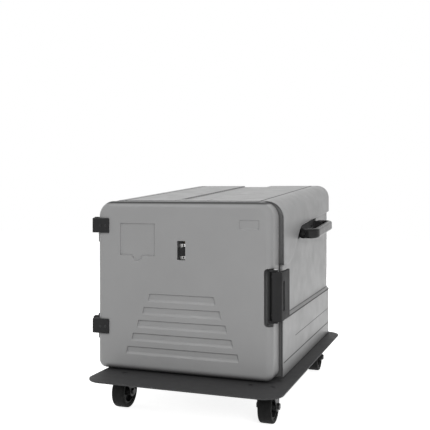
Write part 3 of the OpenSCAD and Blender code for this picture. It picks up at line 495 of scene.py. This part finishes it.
@dataclass(frozen=True)
class MouldedPlastic:
    """A moulded plastic with a fine peel, mottling, paler worn edges, and painted shade in gaps.

    Args:
        slot: The material slot.
        colour: Linear colour.
        roughness: Mean roughness.
        mottle: Colour variation, as a share.
        peel_depth: Depth of the peel in metres.
        peel_scale: Peel features per metre.
        wear: Lightening of the raised edges, as a share.
        edge: Radius that rounds sharp edges, in metres.
        gloss: Specular level.
        painted_shade: Painted shade that darkens the gaps and inner corners, as a share.
        shade_lines: Moulded lines that are darkened with painted shade.
        shade_reach: How far off a neighbour still brings painted shade, in metres.
        shaded_roughness: Roughness where the painted shade is darkest.
        worn_width: Width of the worn edges in metres.
    """

    slot: Slot
    colour: Colour
    roughness: float
    mottle: float
    peel_depth: float
    peel_scale: float
    wear: float
    edge: float = 0.0
    gloss: float = 0.45
    painted_shade: float = 0.0
    shade_lines: tuple[ShadeLine, ...] = ()
    shade_reach: float = 0.022
    shaded_roughness: float = 0.95
    worn_width: float = 0.0016

    def make(self) -> bpy.types.Material:
        """Builds the material.

        Returns:
            The material.
        """
        s = Shading(self.slot.value)
        s.constant(Specular_IOR_Level=self.gloss)
        cloud = s.spread(s.noise(scale=7.0, detail=4.0, rough=0.6))
        pale, dim = shade(self.colour, 1 + self.mottle), shade(self.colour, 1 - self.mottle)
        body = s.mix(cloud, dim, pale)
        speck = s.remap(s.noise(scale=1500.0, detail=2.0), low=0.56, high=0.72, to_high=0.35)
        body = s.mix(speck, body, shade(self.colour, 1 - 3 * self.mottle))
        rubbing = s.noise(scale=55.0, detail=5.0, rough=0.65, stretch=(1.0, 1.0, 0.35))
        scuff = s.remap(rubbing, low=0.45, high=0.62, to_low=0.15)
        worn = s.times(s.rims(self.worn_width) if self.edge else s.edges(), scuff)
        body = s.mix(worn, body, shade(self.colour, 1 + 2.2 * self.wear))
        handled = s.noise(scale=24.0, detail=4.0, rough=0.6)
        rough = s.spread(handled, self.roughness - 0.06, self.roughness + 0.07)
        # Painted shade: gaps, inner corners and the listed lines are darkened, and made rougher
        # there.
        if self.painted_shade:
            painted_shade = s.gap_shade(self.shade_reach)
            for line in self.shade_lines:
                painted_shade = s.greater(painted_shade, s.line_shade(line))
            body = s.mix(painted_shade, body, shade(self.colour, 1 - self.painted_shade))
            dull = s.remap(painted_shade, low=0.0, high=1.0, to_high=self.shaded_roughness)
            rough = s.greater(rough, dull)
        grain = s.noise(self.peel_scale, detail=3.0, rough=0.55)
        peel = s.bump(grain, self.peel_depth, 0.5, s.rounded(self.edge))
        fine = s.noise(self.peel_scale * 4.5, detail=2.0)
        return s.wire(body, rough, s.bump(fine, self.peel_depth * 0.25, 0.5, peel))


@dataclass(frozen=True)
class PowderCoat:
    """A baked coat on steel: fine texture, faint dust, and edges rubbed paler.

    Args:
        slot: The material slot.
        colour: Linear colour.
        roughness: Mean roughness.
        grain: Texture features per metre.
        depth: Texture depth in metres.
        edge: Radius that rounds sharp edges, in metres.
        gloss: Specular level.
        rubbed_width: Width of the rubbed edges in metres.
    """

    slot: Slot
    colour: Colour
    roughness: float
    grain: float
    depth: float
    edge: float = 0.0008
    gloss: float = 0.4
    rubbed_width: float = 0.0016

    def make(self) -> bpy.types.Material:
        """Builds the material.

        Returns:
            The material.
        """
        s = Shading(self.slot.value)
        s.constant(Specular_IOR_Level=self.gloss, Metallic=0.0)
        cloud = s.spread(s.noise(scale=11.0, detail=5.0, rough=0.65))
        coat = s.mix(cloud, shade(self.colour, 0.95), shade(self.colour, 1.06))
        drift = s.noise(scale=3.0, detail=6.0, rough=0.7)
        dust = s.remap(drift, low=0.5, high=0.8, to_high=0.12)
        coat = s.mix(dust, coat, shade(self.colour, 1.3))
        knocks = s.remap(s.noise(scale=90.0, detail=4.0), low=0.42, high=0.6, to_high=0.7)
        coat = s.mix(s.times(s.rims(self.rubbed_width), knocks), coat, shade(self.colour, 2.2))
        handled = s.noise(scale=40.0, detail=4.0, rough=0.6)
        rough = s.spread(handled, self.roughness - 0.04, self.roughness + 0.05)
        texture = s.noise(self.grain, detail=2.0)
        return s.wire(coat, rough, s.bump(texture, self.depth, 0.45, s.rounded(self.edge)))


@dataclass(frozen=True)
class BareSteel:
    """Plated or brushed steel, with brush lines along one axis and light tarnish.

    Args:
        slot: The material slot.
        colour: Linear colour.
        roughness: Mean roughness.
        brush: Stretch of the brush lines along X, Y and Z.
        tarnish: Darkening of the duller spots, as a share.
        edge: Radius that rounds sharp edges, in metres.
        depth: Depth of the brush lines in metres.
    """

    slot: Slot
    colour: Colour
    roughness: float
    brush: Factors
    tarnish: float
    edge: float = 0.0005
    depth: float = 0.00006

    def make(self) -> bpy.types.Material:
        """Builds the material.

        Returns:
            The material.
        """
        s = Shading(self.slot.value)
        s.constant(Metallic=1.0)
        spots = s.remap(s.noise(scale=38.0, detail=5.0, rough=0.65), low=0.4, high=0.72)
        metal = s.mix(spots, self.colour, shade(self.colour, 1 - self.tarnish))
        lines = s.noise(scale=1600.0, detail=3.0, rough=0.6, stretch=self.brush)
        rough = s.spread(lines, self.roughness - 0.07, self.roughness + 0.08)
        return s.wire(metal, rough, s.bump(lines, self.depth, 0.35, s.rounded(self.edge)))


@dataclass(frozen=True)
class Rubber:
    """Matt rubber with a dusty bloom.

    Args:
        slot: The material slot.
        colour: Linear colour.
        roughness: Mean roughness.
        bloom: Share of the pale bloom.
        edge: Radius that rounds sharp edges, in metres.
        depth: Depth of the skin's texture in metres.
    """

    slot: Slot
    colour: Colour
    roughness: float
    bloom: float
    edge: float = 0.001
    depth: float = 0.00012

    def make(self) -> bpy.types.Material:
        """Builds the material.

        Returns:
            The material.
        """
        s = Shading(self.slot.value)
        s.constant(Specular_IOR_Level=0.2)
        dusting = s.noise(scale=30.0, detail=6.0, rough=0.7)
        haze = s.remap(dusting, low=0.42, high=0.75, to_high=self.bloom)
        skin = s.mix(haze, self.colour, shade(self.colour, 2.6))
        handled = s.noise(scale=120.0, detail=3.0)
        rough = s.spread(handled, self.roughness - 0.08, self.roughness + 0.08)
        texture = s.noise(scale=900.0, detail=3.0)
        return s.wire(skin, rough, s.bump(texture, self.depth, 0.5, s.rounded(self.edge)))


@dataclass(frozen=True)
class RigidFoam:
    """Foamed-in-place insulation with small cells.

    Args:
        slot: The material slot.
        colour: Linear colour.
        cell_scale: Cells per metre.
        cell_depth: Depth of the cells in metres.
    """

    slot: Slot
    colour: Colour
    cell_scale: float = 420.0
    cell_depth: float = 0.0006

    def make(self) -> bpy.types.Material:
        """Builds the material.

        Returns:
            The material.
        """
        s = Shading(self.slot.value)
        cells = s.cells(self.cell_scale)
        skin = s.mix(s.remap(cells, low=0.1, high=0.6), shade(self.colour, 0.82), self.colour)
        rough = s.spread(s.noise(scale=60.0), to_low=0.82, to_high=0.95)
        return s.wire(skin, rough, s.bump(cells, self.cell_depth, 0.6))


Finish = MouldedPlastic | PowderCoat | BareSteel | Rubber | RigidFoam

SHELL_GREY: Colour = (0.300, 0.300, 0.301)
PLAIN: Factors = (1.0, 1.0, 1.0)
UPRIGHT_LINES: Factors = (1.0, 1.0, 0.05)

# Lines darkened with painted shade along seams, gaps, the door's top rounding and the ledge.
TOP_SEAM = ShadeLine(Axis.X, place=0.178, half=0.0026, facing=Axis.Z, start=-0.235)
TOP_CHANNEL = ShadeLine(Axis.X, place=0.043, half=0.0010, facing=Axis.Z, start=-0.235)
DOOR_GAP = ShadeLine(Axis.Y, place=0.2065, half=0.0040, facing=Axis.Y, start=-0.24, reach=0.05)
# Painted shadow band on the upper part of the door's top rounding.
DOOR_TOP_EDGE = ShadeLine(
    Axis.Z, place=0.5122, half=0.0045, facing=Axis.Z, start=-0.3, stop=-0.209, rounding=True
)
PLINTH_SEAM = ShadeLine(Axis.Z, place=0.133, half=0.0014, facing=Axis.X, start=-0.2)
PLINTH_CREASE = ShadeLine(Axis.Z, place=0.176, half=0.0008, facing=Axis.X, start=-0.08)
# Painted shade band on the side panel just above the ledge.
SIDE_LEDGE = ShadeLine(Axis.Z, place=0.2390, half=0.0042, facing=Axis.X, start=-0.19)
LINER_GAP = ShadeLine(Axis.Y, place=0.2065, half=0.0045, facing=Axis.Y, start=-0.24, reach=0.05)

# The shell and liner plastics carry painted shade in their gaps, corners and listed lines.
FINISHES: tuple[Finish, ...] = (
    MouldedPlastic(
        Slot.SHELL_PLASTIC,
        SHELL_GREY,
        roughness=0.37,
        mottle=0.03,
        peel_depth=0.0002,
        peel_scale=330.0,
        wear=0.14,
        gloss=0.36,
        painted_shade=0.72,
        shade_lines=(
            TOP_SEAM,
            TOP_CHANNEL,
            DOOR_GAP,
            DOOR_TOP_EDGE,
            PLINTH_SEAM,
            PLINTH_CREASE,
            SIDE_LEDGE,
        ),
    ),
    MouldedPlastic(
        Slot.LINER_PLASTIC,
        SHELL_GREY,
        roughness=0.42,
        mottle=0.04,
        peel_depth=0.0002,
        peel_scale=360.0,
        wear=0.12,
        edge=0.002,
        painted_shade=0.62,
        shade_lines=(LINER_GAP,),
    ),
    MouldedPlastic(
        Slot.BLACK_PLASTIC,
        (0.020, 0.020, 0.0205),
        roughness=0.7,
        mottle=0.08,
        peel_depth=0.00016,
        peel_scale=800.0,
        wear=0.5,
        edge=0.0006,
        gloss=0.2,
    ),
    MouldedPlastic(
        Slot.BLACK_GLOSS,
        (0.006, 0.006, 0.0065),
        roughness=0.24,
        mottle=0.08,
        peel_depth=0.00005,
        peel_scale=300.0,
        wear=0.3,
        edge=0.0006,
        gloss=0.25,
    ),
    MouldedPlastic(
        Slot.HUB_PLASTIC,
        (0.013, 0.013, 0.0135),
        roughness=0.5,
        mottle=0.08,
        peel_depth=0.00015,
        peel_scale=700.0,
        wear=0.5,
        edge=0.0008,
        gloss=0.3,
    ),
    PowderCoat(
        Slot.DECK,
        (0.044, 0.044, 0.045),
        roughness=0.6,
        grain=1400.0,
        depth=0.00006,
        gloss=0.28,
    ),
    PowderCoat(
        Slot.BLACK_STEEL,
        (0.010, 0.010, 0.0105),
        roughness=0.42,
        grain=1800.0,
        depth=0.00006,
        edge=0.0007,
    ),
    BareSteel(Slot.ZINC, (0.56, 0.57, 0.59), roughness=0.34, brush=PLAIN, tarnish=0.3),
    BareSteel(
        Slot.STAINLESS, (0.62, 0.62, 0.62), roughness=0.3, brush=UPRIGHT_LINES, tarnish=0.12
    ),
    BareSteel(
        Slot.VENT_METAL,
        (0.8, 0.8, 0.79),
        roughness=0.34,
        brush=UPRIGHT_LINES,
        tarnish=0.1,
        edge=0.0003,
    ),
    Rubber(Slot.GASKET_RUBBER, (0.022, 0.022, 0.023), roughness=0.62, bloom=0.2),
    Rubber(Slot.STUD_RUBBER, (0.024, 0.024, 0.024), roughness=0.72, bloom=0.3),
    Rubber(Slot.TREAD_RUBBER, (0.0045, 0.0045, 0.0045), roughness=0.72, bloom=0.3, edge=0.0012),
    RigidFoam(Slot.FOAM, (0.86, 0.78, 0.52)),
)


class Paint:
    """The finished materials, one for each slot."""

    def __init__(self, finishes: tuple[Finish, ...]) -> None:
        """Builds each finish once.

        Args:
            finishes: The finishes, one for each slot.
        """
        self.materials = {finish.slot: finish.make() for finish in finishes}

    def coat(self, piece: bpy.types.Object, slot: Slot) -> None:
        """Gives a piece its material and names its slot.

        Args:
            piece: The piece.
            slot: The material slot.
        """
        materials = piece.data.materials
        for i in range(len(materials)):
            materials[i] = self.materials[slot]
        if not materials:
            materials.append(self.materials[slot])


# ---------------------------------------------------------------- shaping


def welded(node: str) -> bmesh.types.BMesh:
    """Copies a CAD node's solid into a mesh to work on.

    Args:
        node: The CAD node.

    Returns:
        The copy, with its doubled corners joined.
    """
    solid = bmesh.new()
    solid.from_mesh(frame["nodes"][node].data)
    bmesh.ops.remove_doubles(solid, verts=solid.verts, dist=WELD)
    return solid


def placed(name: str, data: bpy.types.ID) -> bpy.types.Object:
    """Puts data into the scene.

    Args:
        name: The new object's name.
        data: The mesh, lamp or camera that it shows.

    Returns:
        The object.
    """
    thing = bpy.data.objects.new(name, data)
    bpy.context.scene.collection.objects.link(thing)
    return thing


def poured(name: str, solid: bmesh.types.BMesh) -> bpy.types.Object:
    """Makes a piece of a working mesh, and frees that mesh.

    Args:
        name: The piece's name.
        solid: The working mesh.

    Returns:
        The piece, in place.
    """
    mesh = bpy.data.meshes.new(name)
    solid.to_mesh(mesh)
    solid.free()
    return placed(name, mesh)


def settled(piece: bpy.types.Object) -> bpy.types.Object:
    """Applies every modifier of a piece.

    Args:
        piece: The piece.

    Returns:
        The same piece.
    """
    shown = piece.evaluated_get(bpy.context.evaluated_depsgraph_get())
    mesh = bpy.data.meshes.new_from_object(shown)
    mesh.name = piece.name
    piece.modifiers.clear()
    piece.data = mesh
    return piece


@dataclass(frozen=True)
class Plug:
    """A short rod along Y that closes a screw hole.

    Args:
        place: Middle of its front face, in metres.
        radius: Radius in metres.
        length: Length in metres.
        sides: Number of its flat sides.
    """

    place: Point
    radius: float
    length: float
    sides: int = 24

    def add(self, solid: bmesh.types.BMesh) -> None:
        """Adds the rod to a mesh.

        Args:
            solid: The mesh.
        """
        middle = Vector(self.place) + Vector((0.0, self.length / 2, 0.0))
        bmesh.ops.create_cone(
            solid,
            cap_ends=True,
            segments=self.sides,
            radius1=self.radius,
            radius2=self.radius,
            depth=self.length,
            matrix=Matrix.Translation(middle) @ Matrix.Rotation(math.pi / 2, 4, "X"),
        )


@dataclass(frozen=True)
class Moulding:
    """How a mould softens a solid's edges.

    Args:
        voxel: Mesh pitch in metres, near half of the edge radius.
        passes: Smoothing passes.
        keep: Share of the fine faces that stay after thinning.
        pull: How far each pass smooths, as a share.
    """

    voxel: float
    passes: int
    keep: float
    pull: float = 0.5

    def soften(self, node: str, name: str, plugs: tuple[Plug, ...] = ()) -> bpy.types.Object:
        """Makes a piece with soft edges from a node's solid.

        Args:
            node: The CAD node.
            name: The new piece's name.
            plugs: Rods that close screw holes.

        Returns:
            The piece, in place.
        """
        solid = welded(node)
        for plug in plugs:
            plug.add(solid)
        piece = poured(name, solid)
        remesh = piece.modifiers.new("even", "REMESH")
        remesh.mode = "VOXEL"
        remesh.voxel_size = self.voxel * 1.0
        remesh.use_smooth_shade = True
        smooth = piece.modifiers.new("soft", "SMOOTH")
        smooth.factor = self.pull
        smooth.iterations = self.passes
        thin = piece.modifiers.new("thin", "DECIMATE")
        thin.ratio = self.keep
        weighted = piece.modifiers.new("flats", "WEIGHTED_NORMAL")
        weighted.keep_sharp = False
        return settled(piece)


@dataclass
class SubAssembly:
    """A group of pieces that is built and dressed together.

    Args:
        paint: The finished materials.
    """

    paint: Paint

    def dress(self, slot: Slot, *nodes: str) -> None:
        """Keeps the solids of some nodes and gives them their finish.

        Args:
            slot: The material slot.
            *nodes: The CAD nodes.
        """
        for node in nodes:
            self.paint.coat(frame["nodes"][node], slot)
            log.info("kept %s as %s on %s", node, slot.value, BODY[node])

    def adopt(self, piece: bpy.types.Object, node: str, slot: Slot) -> None:
        """Lets a piece stand for a node, on that node's body.

        Args:
            piece: The piece.
            node: The CAD node that it replaces.
            slot: The material slot.
        """
        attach(piece, BODY[node])
        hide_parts(node)
        self.paint.coat(piece, slot)
        log.info("made %s from %s, %d faces", piece.name, node, len(piece.data.polygons))

    def mould(
        self, node: str, name: str, moulding: Moulding, slot: Slot, plugs: tuple[Plug, ...] = ()
    ) -> None:
        """Replaces a node with its softened piece.

        Args:
            node: The CAD node.
            name: The piece's name.
            moulding: How the edges are softened.
            slot: The material slot.
            plugs: Rods that close screw holes.
        """
        self.adopt(moulding.soften(node, name, plugs), node, slot)

    def build(self) -> None:
        """Builds and dresses the group's pieces."""
        raise NotImplementedError


# ---------------------------------------------------------------- the carrier


@dataclass
class CarrierBody(SubAssembly):
    """The insulated body: skin, foam, compartment and pan rails.

    Args:
        skin: Edge softening of the outer skin.
    """

    skin: Moulding = Moulding(voxel=0.0013, passes=3, keep=0.14)

    def build(self) -> None:
        """Builds the skin and dresses what it holds."""
        self.mould("outer_shell", "shell_moulding", self.skin, Slot.SHELL_PLASTIC)
        self.dress(Slot.FOAM, "insulation")
        self.dress(Slot.LINER_PLASTIC, "inner_liner", "pan_rail_left", "pan_rail_right")
        self.dress(Slot.BLACK_STEEL, "body_screws")


@dataclass
class Door(SubAssembly):
    """The insulated door: skin, foam, plug and seal.

    Args:
        skin: Edge softening of the outer skin.
        hole_gap: How far past a hinge plate's end its bare hole lies, in metres.
        hole_radius: Radius of the rod that closes it, in metres.
        hole_depth: Length of that rod in metres.
    """

    skin: Moulding = Moulding(voxel=0.0010, passes=4, keep=0.15)
    hole_gap: float = 0.0015
    hole_radius: float = 0.0026
    hole_depth: float = 0.0039

    def build(self) -> None:
        """Builds the skin and dresses what it holds."""
        plugs = self.bare_holes()
        self.mould("door_skin", "door_moulding", self.skin, Slot.SHELL_PLASTIC, plugs)
        self.dress(Slot.FOAM, "door_insulation")
        self.dress(Slot.LINER_PLASTIC, "door_liner")
        self.dress(Slot.GASKET_RUBBER, "door_gasket")

    def bare_holes(self) -> tuple[Plug, ...]:
        """Closes the pilot holes beside the ends of the hinge plates.

        Returns:
            The rods that close them.
        """
        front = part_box("door_skin")[0][Axis.Y.value]
        plugs = []
        for level in ("lower", "upper"):
            (_, _, bottom), (end, _, top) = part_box(f"hinge_door_leaf_{level}")
            place = (end + self.hole_gap, front, (bottom + top) / 2)
            plugs.append(Plug(place, self.hole_radius, self.hole_depth))
        return tuple(plugs)


@dataclass
class Hinges(SubAssembly):
    """The two hinges, with a leaf on the body and a leaf on the door.

    Args:
        leaf: Edge softening of the leaves.
        hole_inset: How far in from a plate's end its inner screw hole lies, in metres.
        hole_radius: Radius of the rods that close the holes, in metres.
        hole_depth: Length of those rods in metres.
        hole_step: How far they stay behind the plate's face, in metres.
        screw_zone: How far past a plate's end a screw still is a hinge screw, in metres.
        screw_shift: How far the hinge screws stand in from their holes, in metres.
        screw_sink: How far their heads sink into the plates, in metres.
    """

    leaf: Moulding = Moulding(voxel=0.0007, passes=5, keep=0.2)
    hole_inset: float = 0.0125
    hole_radius: float = 0.0023
    hole_depth: float = 0.0035
    hole_step: float = 0.0001
    screw_zone: float = 0.009
    screw_shift: float = 0.0095
    screw_sink: float = 0.0011

    def build(self) -> None:
        """Builds the leaves and the door's screws and dresses the pins."""
        black = Slot.BLACK_PLASTIC
        for level in ("lower", "upper"):
            node = f"hinge_body_leaf_{level}"
            self.mould(node, f"hinge_body_casting_{level}", self.leaf, black)
            node = f"hinge_door_leaf_{level}"
            plugs = self.old_holes(node)
            self.mould(node, f"hinge_door_casting_{level}", self.leaf, black, plugs)
        self.dress(Slot.BLACK_STEEL, "hinge_pins")
        self.set_screws()

    def old_holes(self, node: str) -> tuple[Plug, ...]:
        """Closes the two screw holes of a door leaf.

        Args:
            node: The leaf's node.

        Returns:
            The rods that close them, kept inside the leaf's front plate.
        """
        (_, front, bottom), (end, _, top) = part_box(node)
        height = (bottom + top) / 2
        return tuple(
            Plug((x, front + self.hole_step, height), self.hole_radius, self.hole_depth)
            for x in (end - self.hole_inset, end - self.hole_radius)
        )

    def set_screws(self) -> None:
        """Makes the door's screws, with the hinge screws brought in from the plates' ends."""
        screws = welded("door_screws")
        plate_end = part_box("hinge_door_leaf_upper")[1][Axis.X.value]
        for vert in screws.verts:
            if vert.co.x < plate_end + self.screw_zone:
                vert.co.x -= self.screw_shift
                vert.co.y += self.screw_sink
        piece = poured("door_fasteners", screws)
        piece.modifiers.new("flats", "WEIGHTED_NORMAL").keep_sharp = True
        self.adopt(settled(piece), "door_screws", Slot.BLACK_STEEL)


@dataclass
class Latch(SubAssembly):
    """The door latch: base with ears, lever on its pin, and the keeper.

    Args:
        casting: Edge softening of the base and lever.
    """

    casting: Moulding = Moulding(voxel=0.0006, passes=6, keep=0.2)

    def build(self) -> None:
        """Builds the base and lever, and dresses the keeper and pin."""
        self.mould("latch_base", "latch_housing", self.casting, Slot.BLACK_PLASTIC)
        self.mould("latch_lever", "latch_paddle", self.casting, Slot.BLACK_PLASTIC)
        self.dress(Slot.BLACK_PLASTIC, "latch_keeper")
        self.dress(Slot.STAINLESS, "latch_pin")


@dataclass
class Vent(SubAssembly):
    """The door's steam vent: a plate and a slider that opens it.

    Args:
        knob: Edge softening of the slider.
    """

    knob: Moulding = Moulding(voxel=0.0004, passes=4, keep=0.25)

    def build(self) -> None:
        """Dresses the plate and builds the slider."""
        self.dress(Slot.VENT_METAL, "vent_plate")
        self.mould("vent_slider", "vent_shutter", self.knob, Slot.BLACK_PLASTIC)


@dataclass
class CarryHandle(SubAssembly):
    """One carrying handle: a swinging grip on its bracket.

    Args:
        side: The flank it is on.
        grip: Edge softening of the grip.
        bracket: Edge softening of the bracket.
    """

    side: Side
    grip: Moulding = Moulding(voxel=0.0008, passes=10, keep=0.2)
    bracket: Moulding = Moulding(voxel=0.0007, passes=5, keep=0.2)

    def build(self) -> None:
        """Builds the grip and bracket and dresses the pins."""
        side = self.side.value
        self.mould(f"handle_{side}", f"grip_{side}", self.grip, Slot.BLACK_GLOSS)
        node = f"handle_bracket_{side}"
        self.mould(node, f"grip_bracket_{side}", self.bracket, Slot.BLACK_PLASTIC)
        self.dress(Slot.BLACK_STEEL, f"handle_pins_{side}")


# ---------------------------------------------------------------- the dolly


@dataclass
class Deck(SubAssembly):
    """The dolly's deck with its locating studs and caster fasteners.

    Args:
        stud: Edge softening of the studs.
    """

    stud: Moulding = Moulding(voxel=0.0009, passes=4, keep=0.2)

    def build(self) -> None:
        """Builds the studs and dresses the metal."""
        self.dress(Slot.DECK, "deck_plate")
        self.mould("locating_studs", "locating_buffers", self.stud, Slot.STUD_RUBBER)
        self.dress(Slot.BLACK_STEEL, "caster_bolts")
        self.dress(Slot.ZINC, "caster_nuts")


@dataclass
class Caster(SubAssembly):
    """One swivel caster.

    Args:
        corner: Its place under the deck.
        fork: Edge softening of the pressed fork.
    """

    corner: Corner
    fork: Moulding = Moulding(voxel=0.0008, passes=4, keep=0.2)

    def build(self) -> None:
        """Builds the fork and dresses the rest."""
        place = self.corner.value
        self.dress(Slot.BLACK_STEEL, f"caster_plate_{place}")
        self.mould(f"caster_fork_{place}", f"pressed_fork_{place}", self.fork, Slot.BLACK_STEEL)
        self.dress(Slot.BLACK_STEEL, f"caster_axle_{place}")
        self.dress(Slot.HUB_PLASTIC, f"wheel_hub_{place}")
        self.dress(Slot.TREAD_RUBBER, f"wheel_tyre_{place}")


# ---------------------------------------------------------------- the studio


@dataclass(frozen=True)
class SoftBox:
    """A soft area lamp.

    Args:
        name: The lamp's name.
        place: Where it stands, in metres.
        target: The point that it faces.
        size: Width and height in metres.
        power: Power in watts.
        mirrored: Whether glossy faces show it.
    """

    name: str
    place: Point
    target: Point
    size: tuple[float, float]
    power: float
    mirrored: bool = True

    def build(self) -> None:
        """Adds the lamp."""
        data = bpy.data.lights.new(self.name, "AREA")
        data.shape = "RECTANGLE"
        data.size, data.size_y = self.size
        data.energy = self.power
        lamp = placed(self.name, data)
        lamp.visible_glossy = self.mirrored
        lamp.location = self.place
        aim = Vector(self.target) - Vector(self.place)
        lamp.rotation_euler = aim.to_track_quat("-Z", "Y").to_euler()


LAMPS: tuple[SoftBox, ...] = (
    SoftBox("key_softbox", (-0.9, -2.0, 1.9), (0.0, -0.2, 0.35), (0.5, 0.4), power=9.5),
    SoftBox("fill_softbox", (1.5, -2.1, 1.1), (0.0, -0.1, 0.3), (1.5, 0.5), 22.5, mirrored=False),
    SoftBox("overhead_softbox", (0.1, 0.1, 2.6), (0.0, 0.0, 0.4), (2.0, 2.0), power=6.0),
    SoftBox("left_softbox", (-2.7, 0.5, 1.0), (0.0, 0.0, 0.3), (1.4, 1.0), 15.0, mirrored=False),
    SoftBox("back_softbox", (-0.9, 2.8, 0.9), (0.0, 0.0, 0.3), (1.5, 0.8), 19.0, mirrored=False),
)


@dataclass
class Studio:
    """Floor, lamps, world and camera.

    Args:
        lamps: The soft lamps.
        eye: The camera's place in metres.
        turn: The camera's turn about Z, in degrees.
        focal: Focal length in pixels of the frame.
        horizon: Row of the horizon in pixels from the top.
        frame_side: Side of the square frame in pixels.
        sensor: Width of the camera's sensor in millimetres.
        ambient: Strength of the even light.
        floor_half: Half of the floor's side in metres.
        floor_tone: The floor's own grey.
        floor_glow: How far the floor is lifted towards white for the camera.
    """

    lamps: tuple[SoftBox, ...] = LAMPS
    eye: Point = (0.6427, -1.8269, 0.539)
    turn: float = 19.7
    focal: float = 709.0
    horizon: float = 190.8
    frame_side: float = 430.0
    sensor: float = 36.0
    ambient: float = 0.40
    floor_half: float = 6.0
    floor_tone: float = 0.85
    floor_glow: float = 0.84

    def build(self) -> None:
        """Builds the whole studio."""
        self.build_camera()
        for lamp in self.lamps:
            lamp.build()
        self.build_world()
        self.build_floor()

    def build_camera(self) -> None:
        """Adds the camera at the solved place."""
        data = bpy.data.cameras.new("studio_camera")
        data.sensor_width = self.sensor
        data.lens = self.focal / self.frame_side * self.sensor
        data.shift_y = (self.horizon - self.frame_side / 2) / self.frame_side
        camera = placed("studio_camera", data)
        camera.location = self.eye
        camera.rotation_euler = (math.pi / 2, 0.0, math.radians(self.turn))
        bpy.context.scene.camera = camera

    @staticmethod
    def seen_directly(tree: bpy.types.NodeTree) -> Socket:
        """A value that is 1 for rays that show the background as such.

        Args:
            tree: The node tree.

        Returns:
            1 for camera, glossy and transmission rays, otherwise 0.
        """
        path = tree.nodes.new("ShaderNodeLightPath")
        total = path.outputs["Is Camera Ray"]
        for name in ("Is Glossy Ray", "Is Transmission Ray"):
            node = tree.nodes.new("ShaderNodeMath")
            node.operation = Operation.GREATER.value
            tree.links.new(total, node.inputs[0])
            tree.links.new(path.outputs[name], node.inputs[1])
            total = node.outputs[0]
        return total

    def build_world(self) -> None:
        """Adds the even light and the white surroundings."""
        world = bpy.data.worlds.new("studio_world")
        bpy.context.scene.world = world
        world.use_nodes = True
        tree = world.node_tree
        tree.nodes.clear()
        mix = tree.nodes.new("ShaderNodeMixShader")
        output = tree.nodes.new("ShaderNodeOutputWorld")
        tree.links.new(self.seen_directly(tree), mix.inputs[0])
        for strength, socket in ((self.ambient, mix.inputs[1]), (1.0, mix.inputs[2])):
            light = tree.nodes.new("ShaderNodeBackground")
            light.inputs["Color"].default_value = WHITE
            light.inputs["Strength"].default_value = strength
            tree.links.new(light.outputs[0], socket)
        tree.links.new(mix.outputs[0], output.inputs["Surface"])

    def build_floor(self) -> None:
        """Adds the pale floor, which keeps the shadow and clips to white away from it."""
        sheet = bmesh.new()
        bmesh.ops.create_grid(sheet, x_segments=4, y_segments=4, size=self.floor_half)
        floor = poured("studio_floor", sheet)
        material = bpy.data.materials.new("studio_floor")
        material.use_nodes = True
        tree = material.node_tree
        tree.nodes.clear()
        pale = tree.nodes.new("ShaderNodeBsdfDiffuse")
        pale.inputs["Color"].default_value = (*[self.floor_tone] * 3, 1.0)
        glow = tree.nodes.new("ShaderNodeEmission")
        lift = tree.nodes.new("ShaderNodeMath")
        lift.operation = Operation.TIMES.value
        lift.inputs[1].default_value = self.floor_glow
        add = tree.nodes.new("ShaderNodeAddShader")
        output = tree.nodes.new("ShaderNodeOutputMaterial")
        tree.links.new(self.seen_directly(tree), lift.inputs[0])
        tree.links.new(lift.outputs[0], glow.inputs["Strength"])
        tree.links.new(pale.outputs[0], add.inputs[0])
        tree.links.new(glow.outputs[0], add.inputs[1])
        tree.links.new(add.outputs[0], output.inputs["Surface"])
        floor.data.materials.append(material)


def main() -> None:
    """Builds the studio, the dolly and the carrier."""
    bpy.context.scene.view_settings.view_transform = "Standard"
    Studio().build()
    paint = Paint(FINISHES)
    groups: list[SubAssembly] = [Deck(paint)]
    groups += [Caster(paint, corner) for corner in Corner]
    groups += [CarrierBody(paint), Door(paint), Hinges(paint), Latch(paint), Vent(paint)]
    groups += [CarryHandle(paint, side) for side in Side]
    for group in groups:
        group.build()


if __name__ == "__main__":
    main()
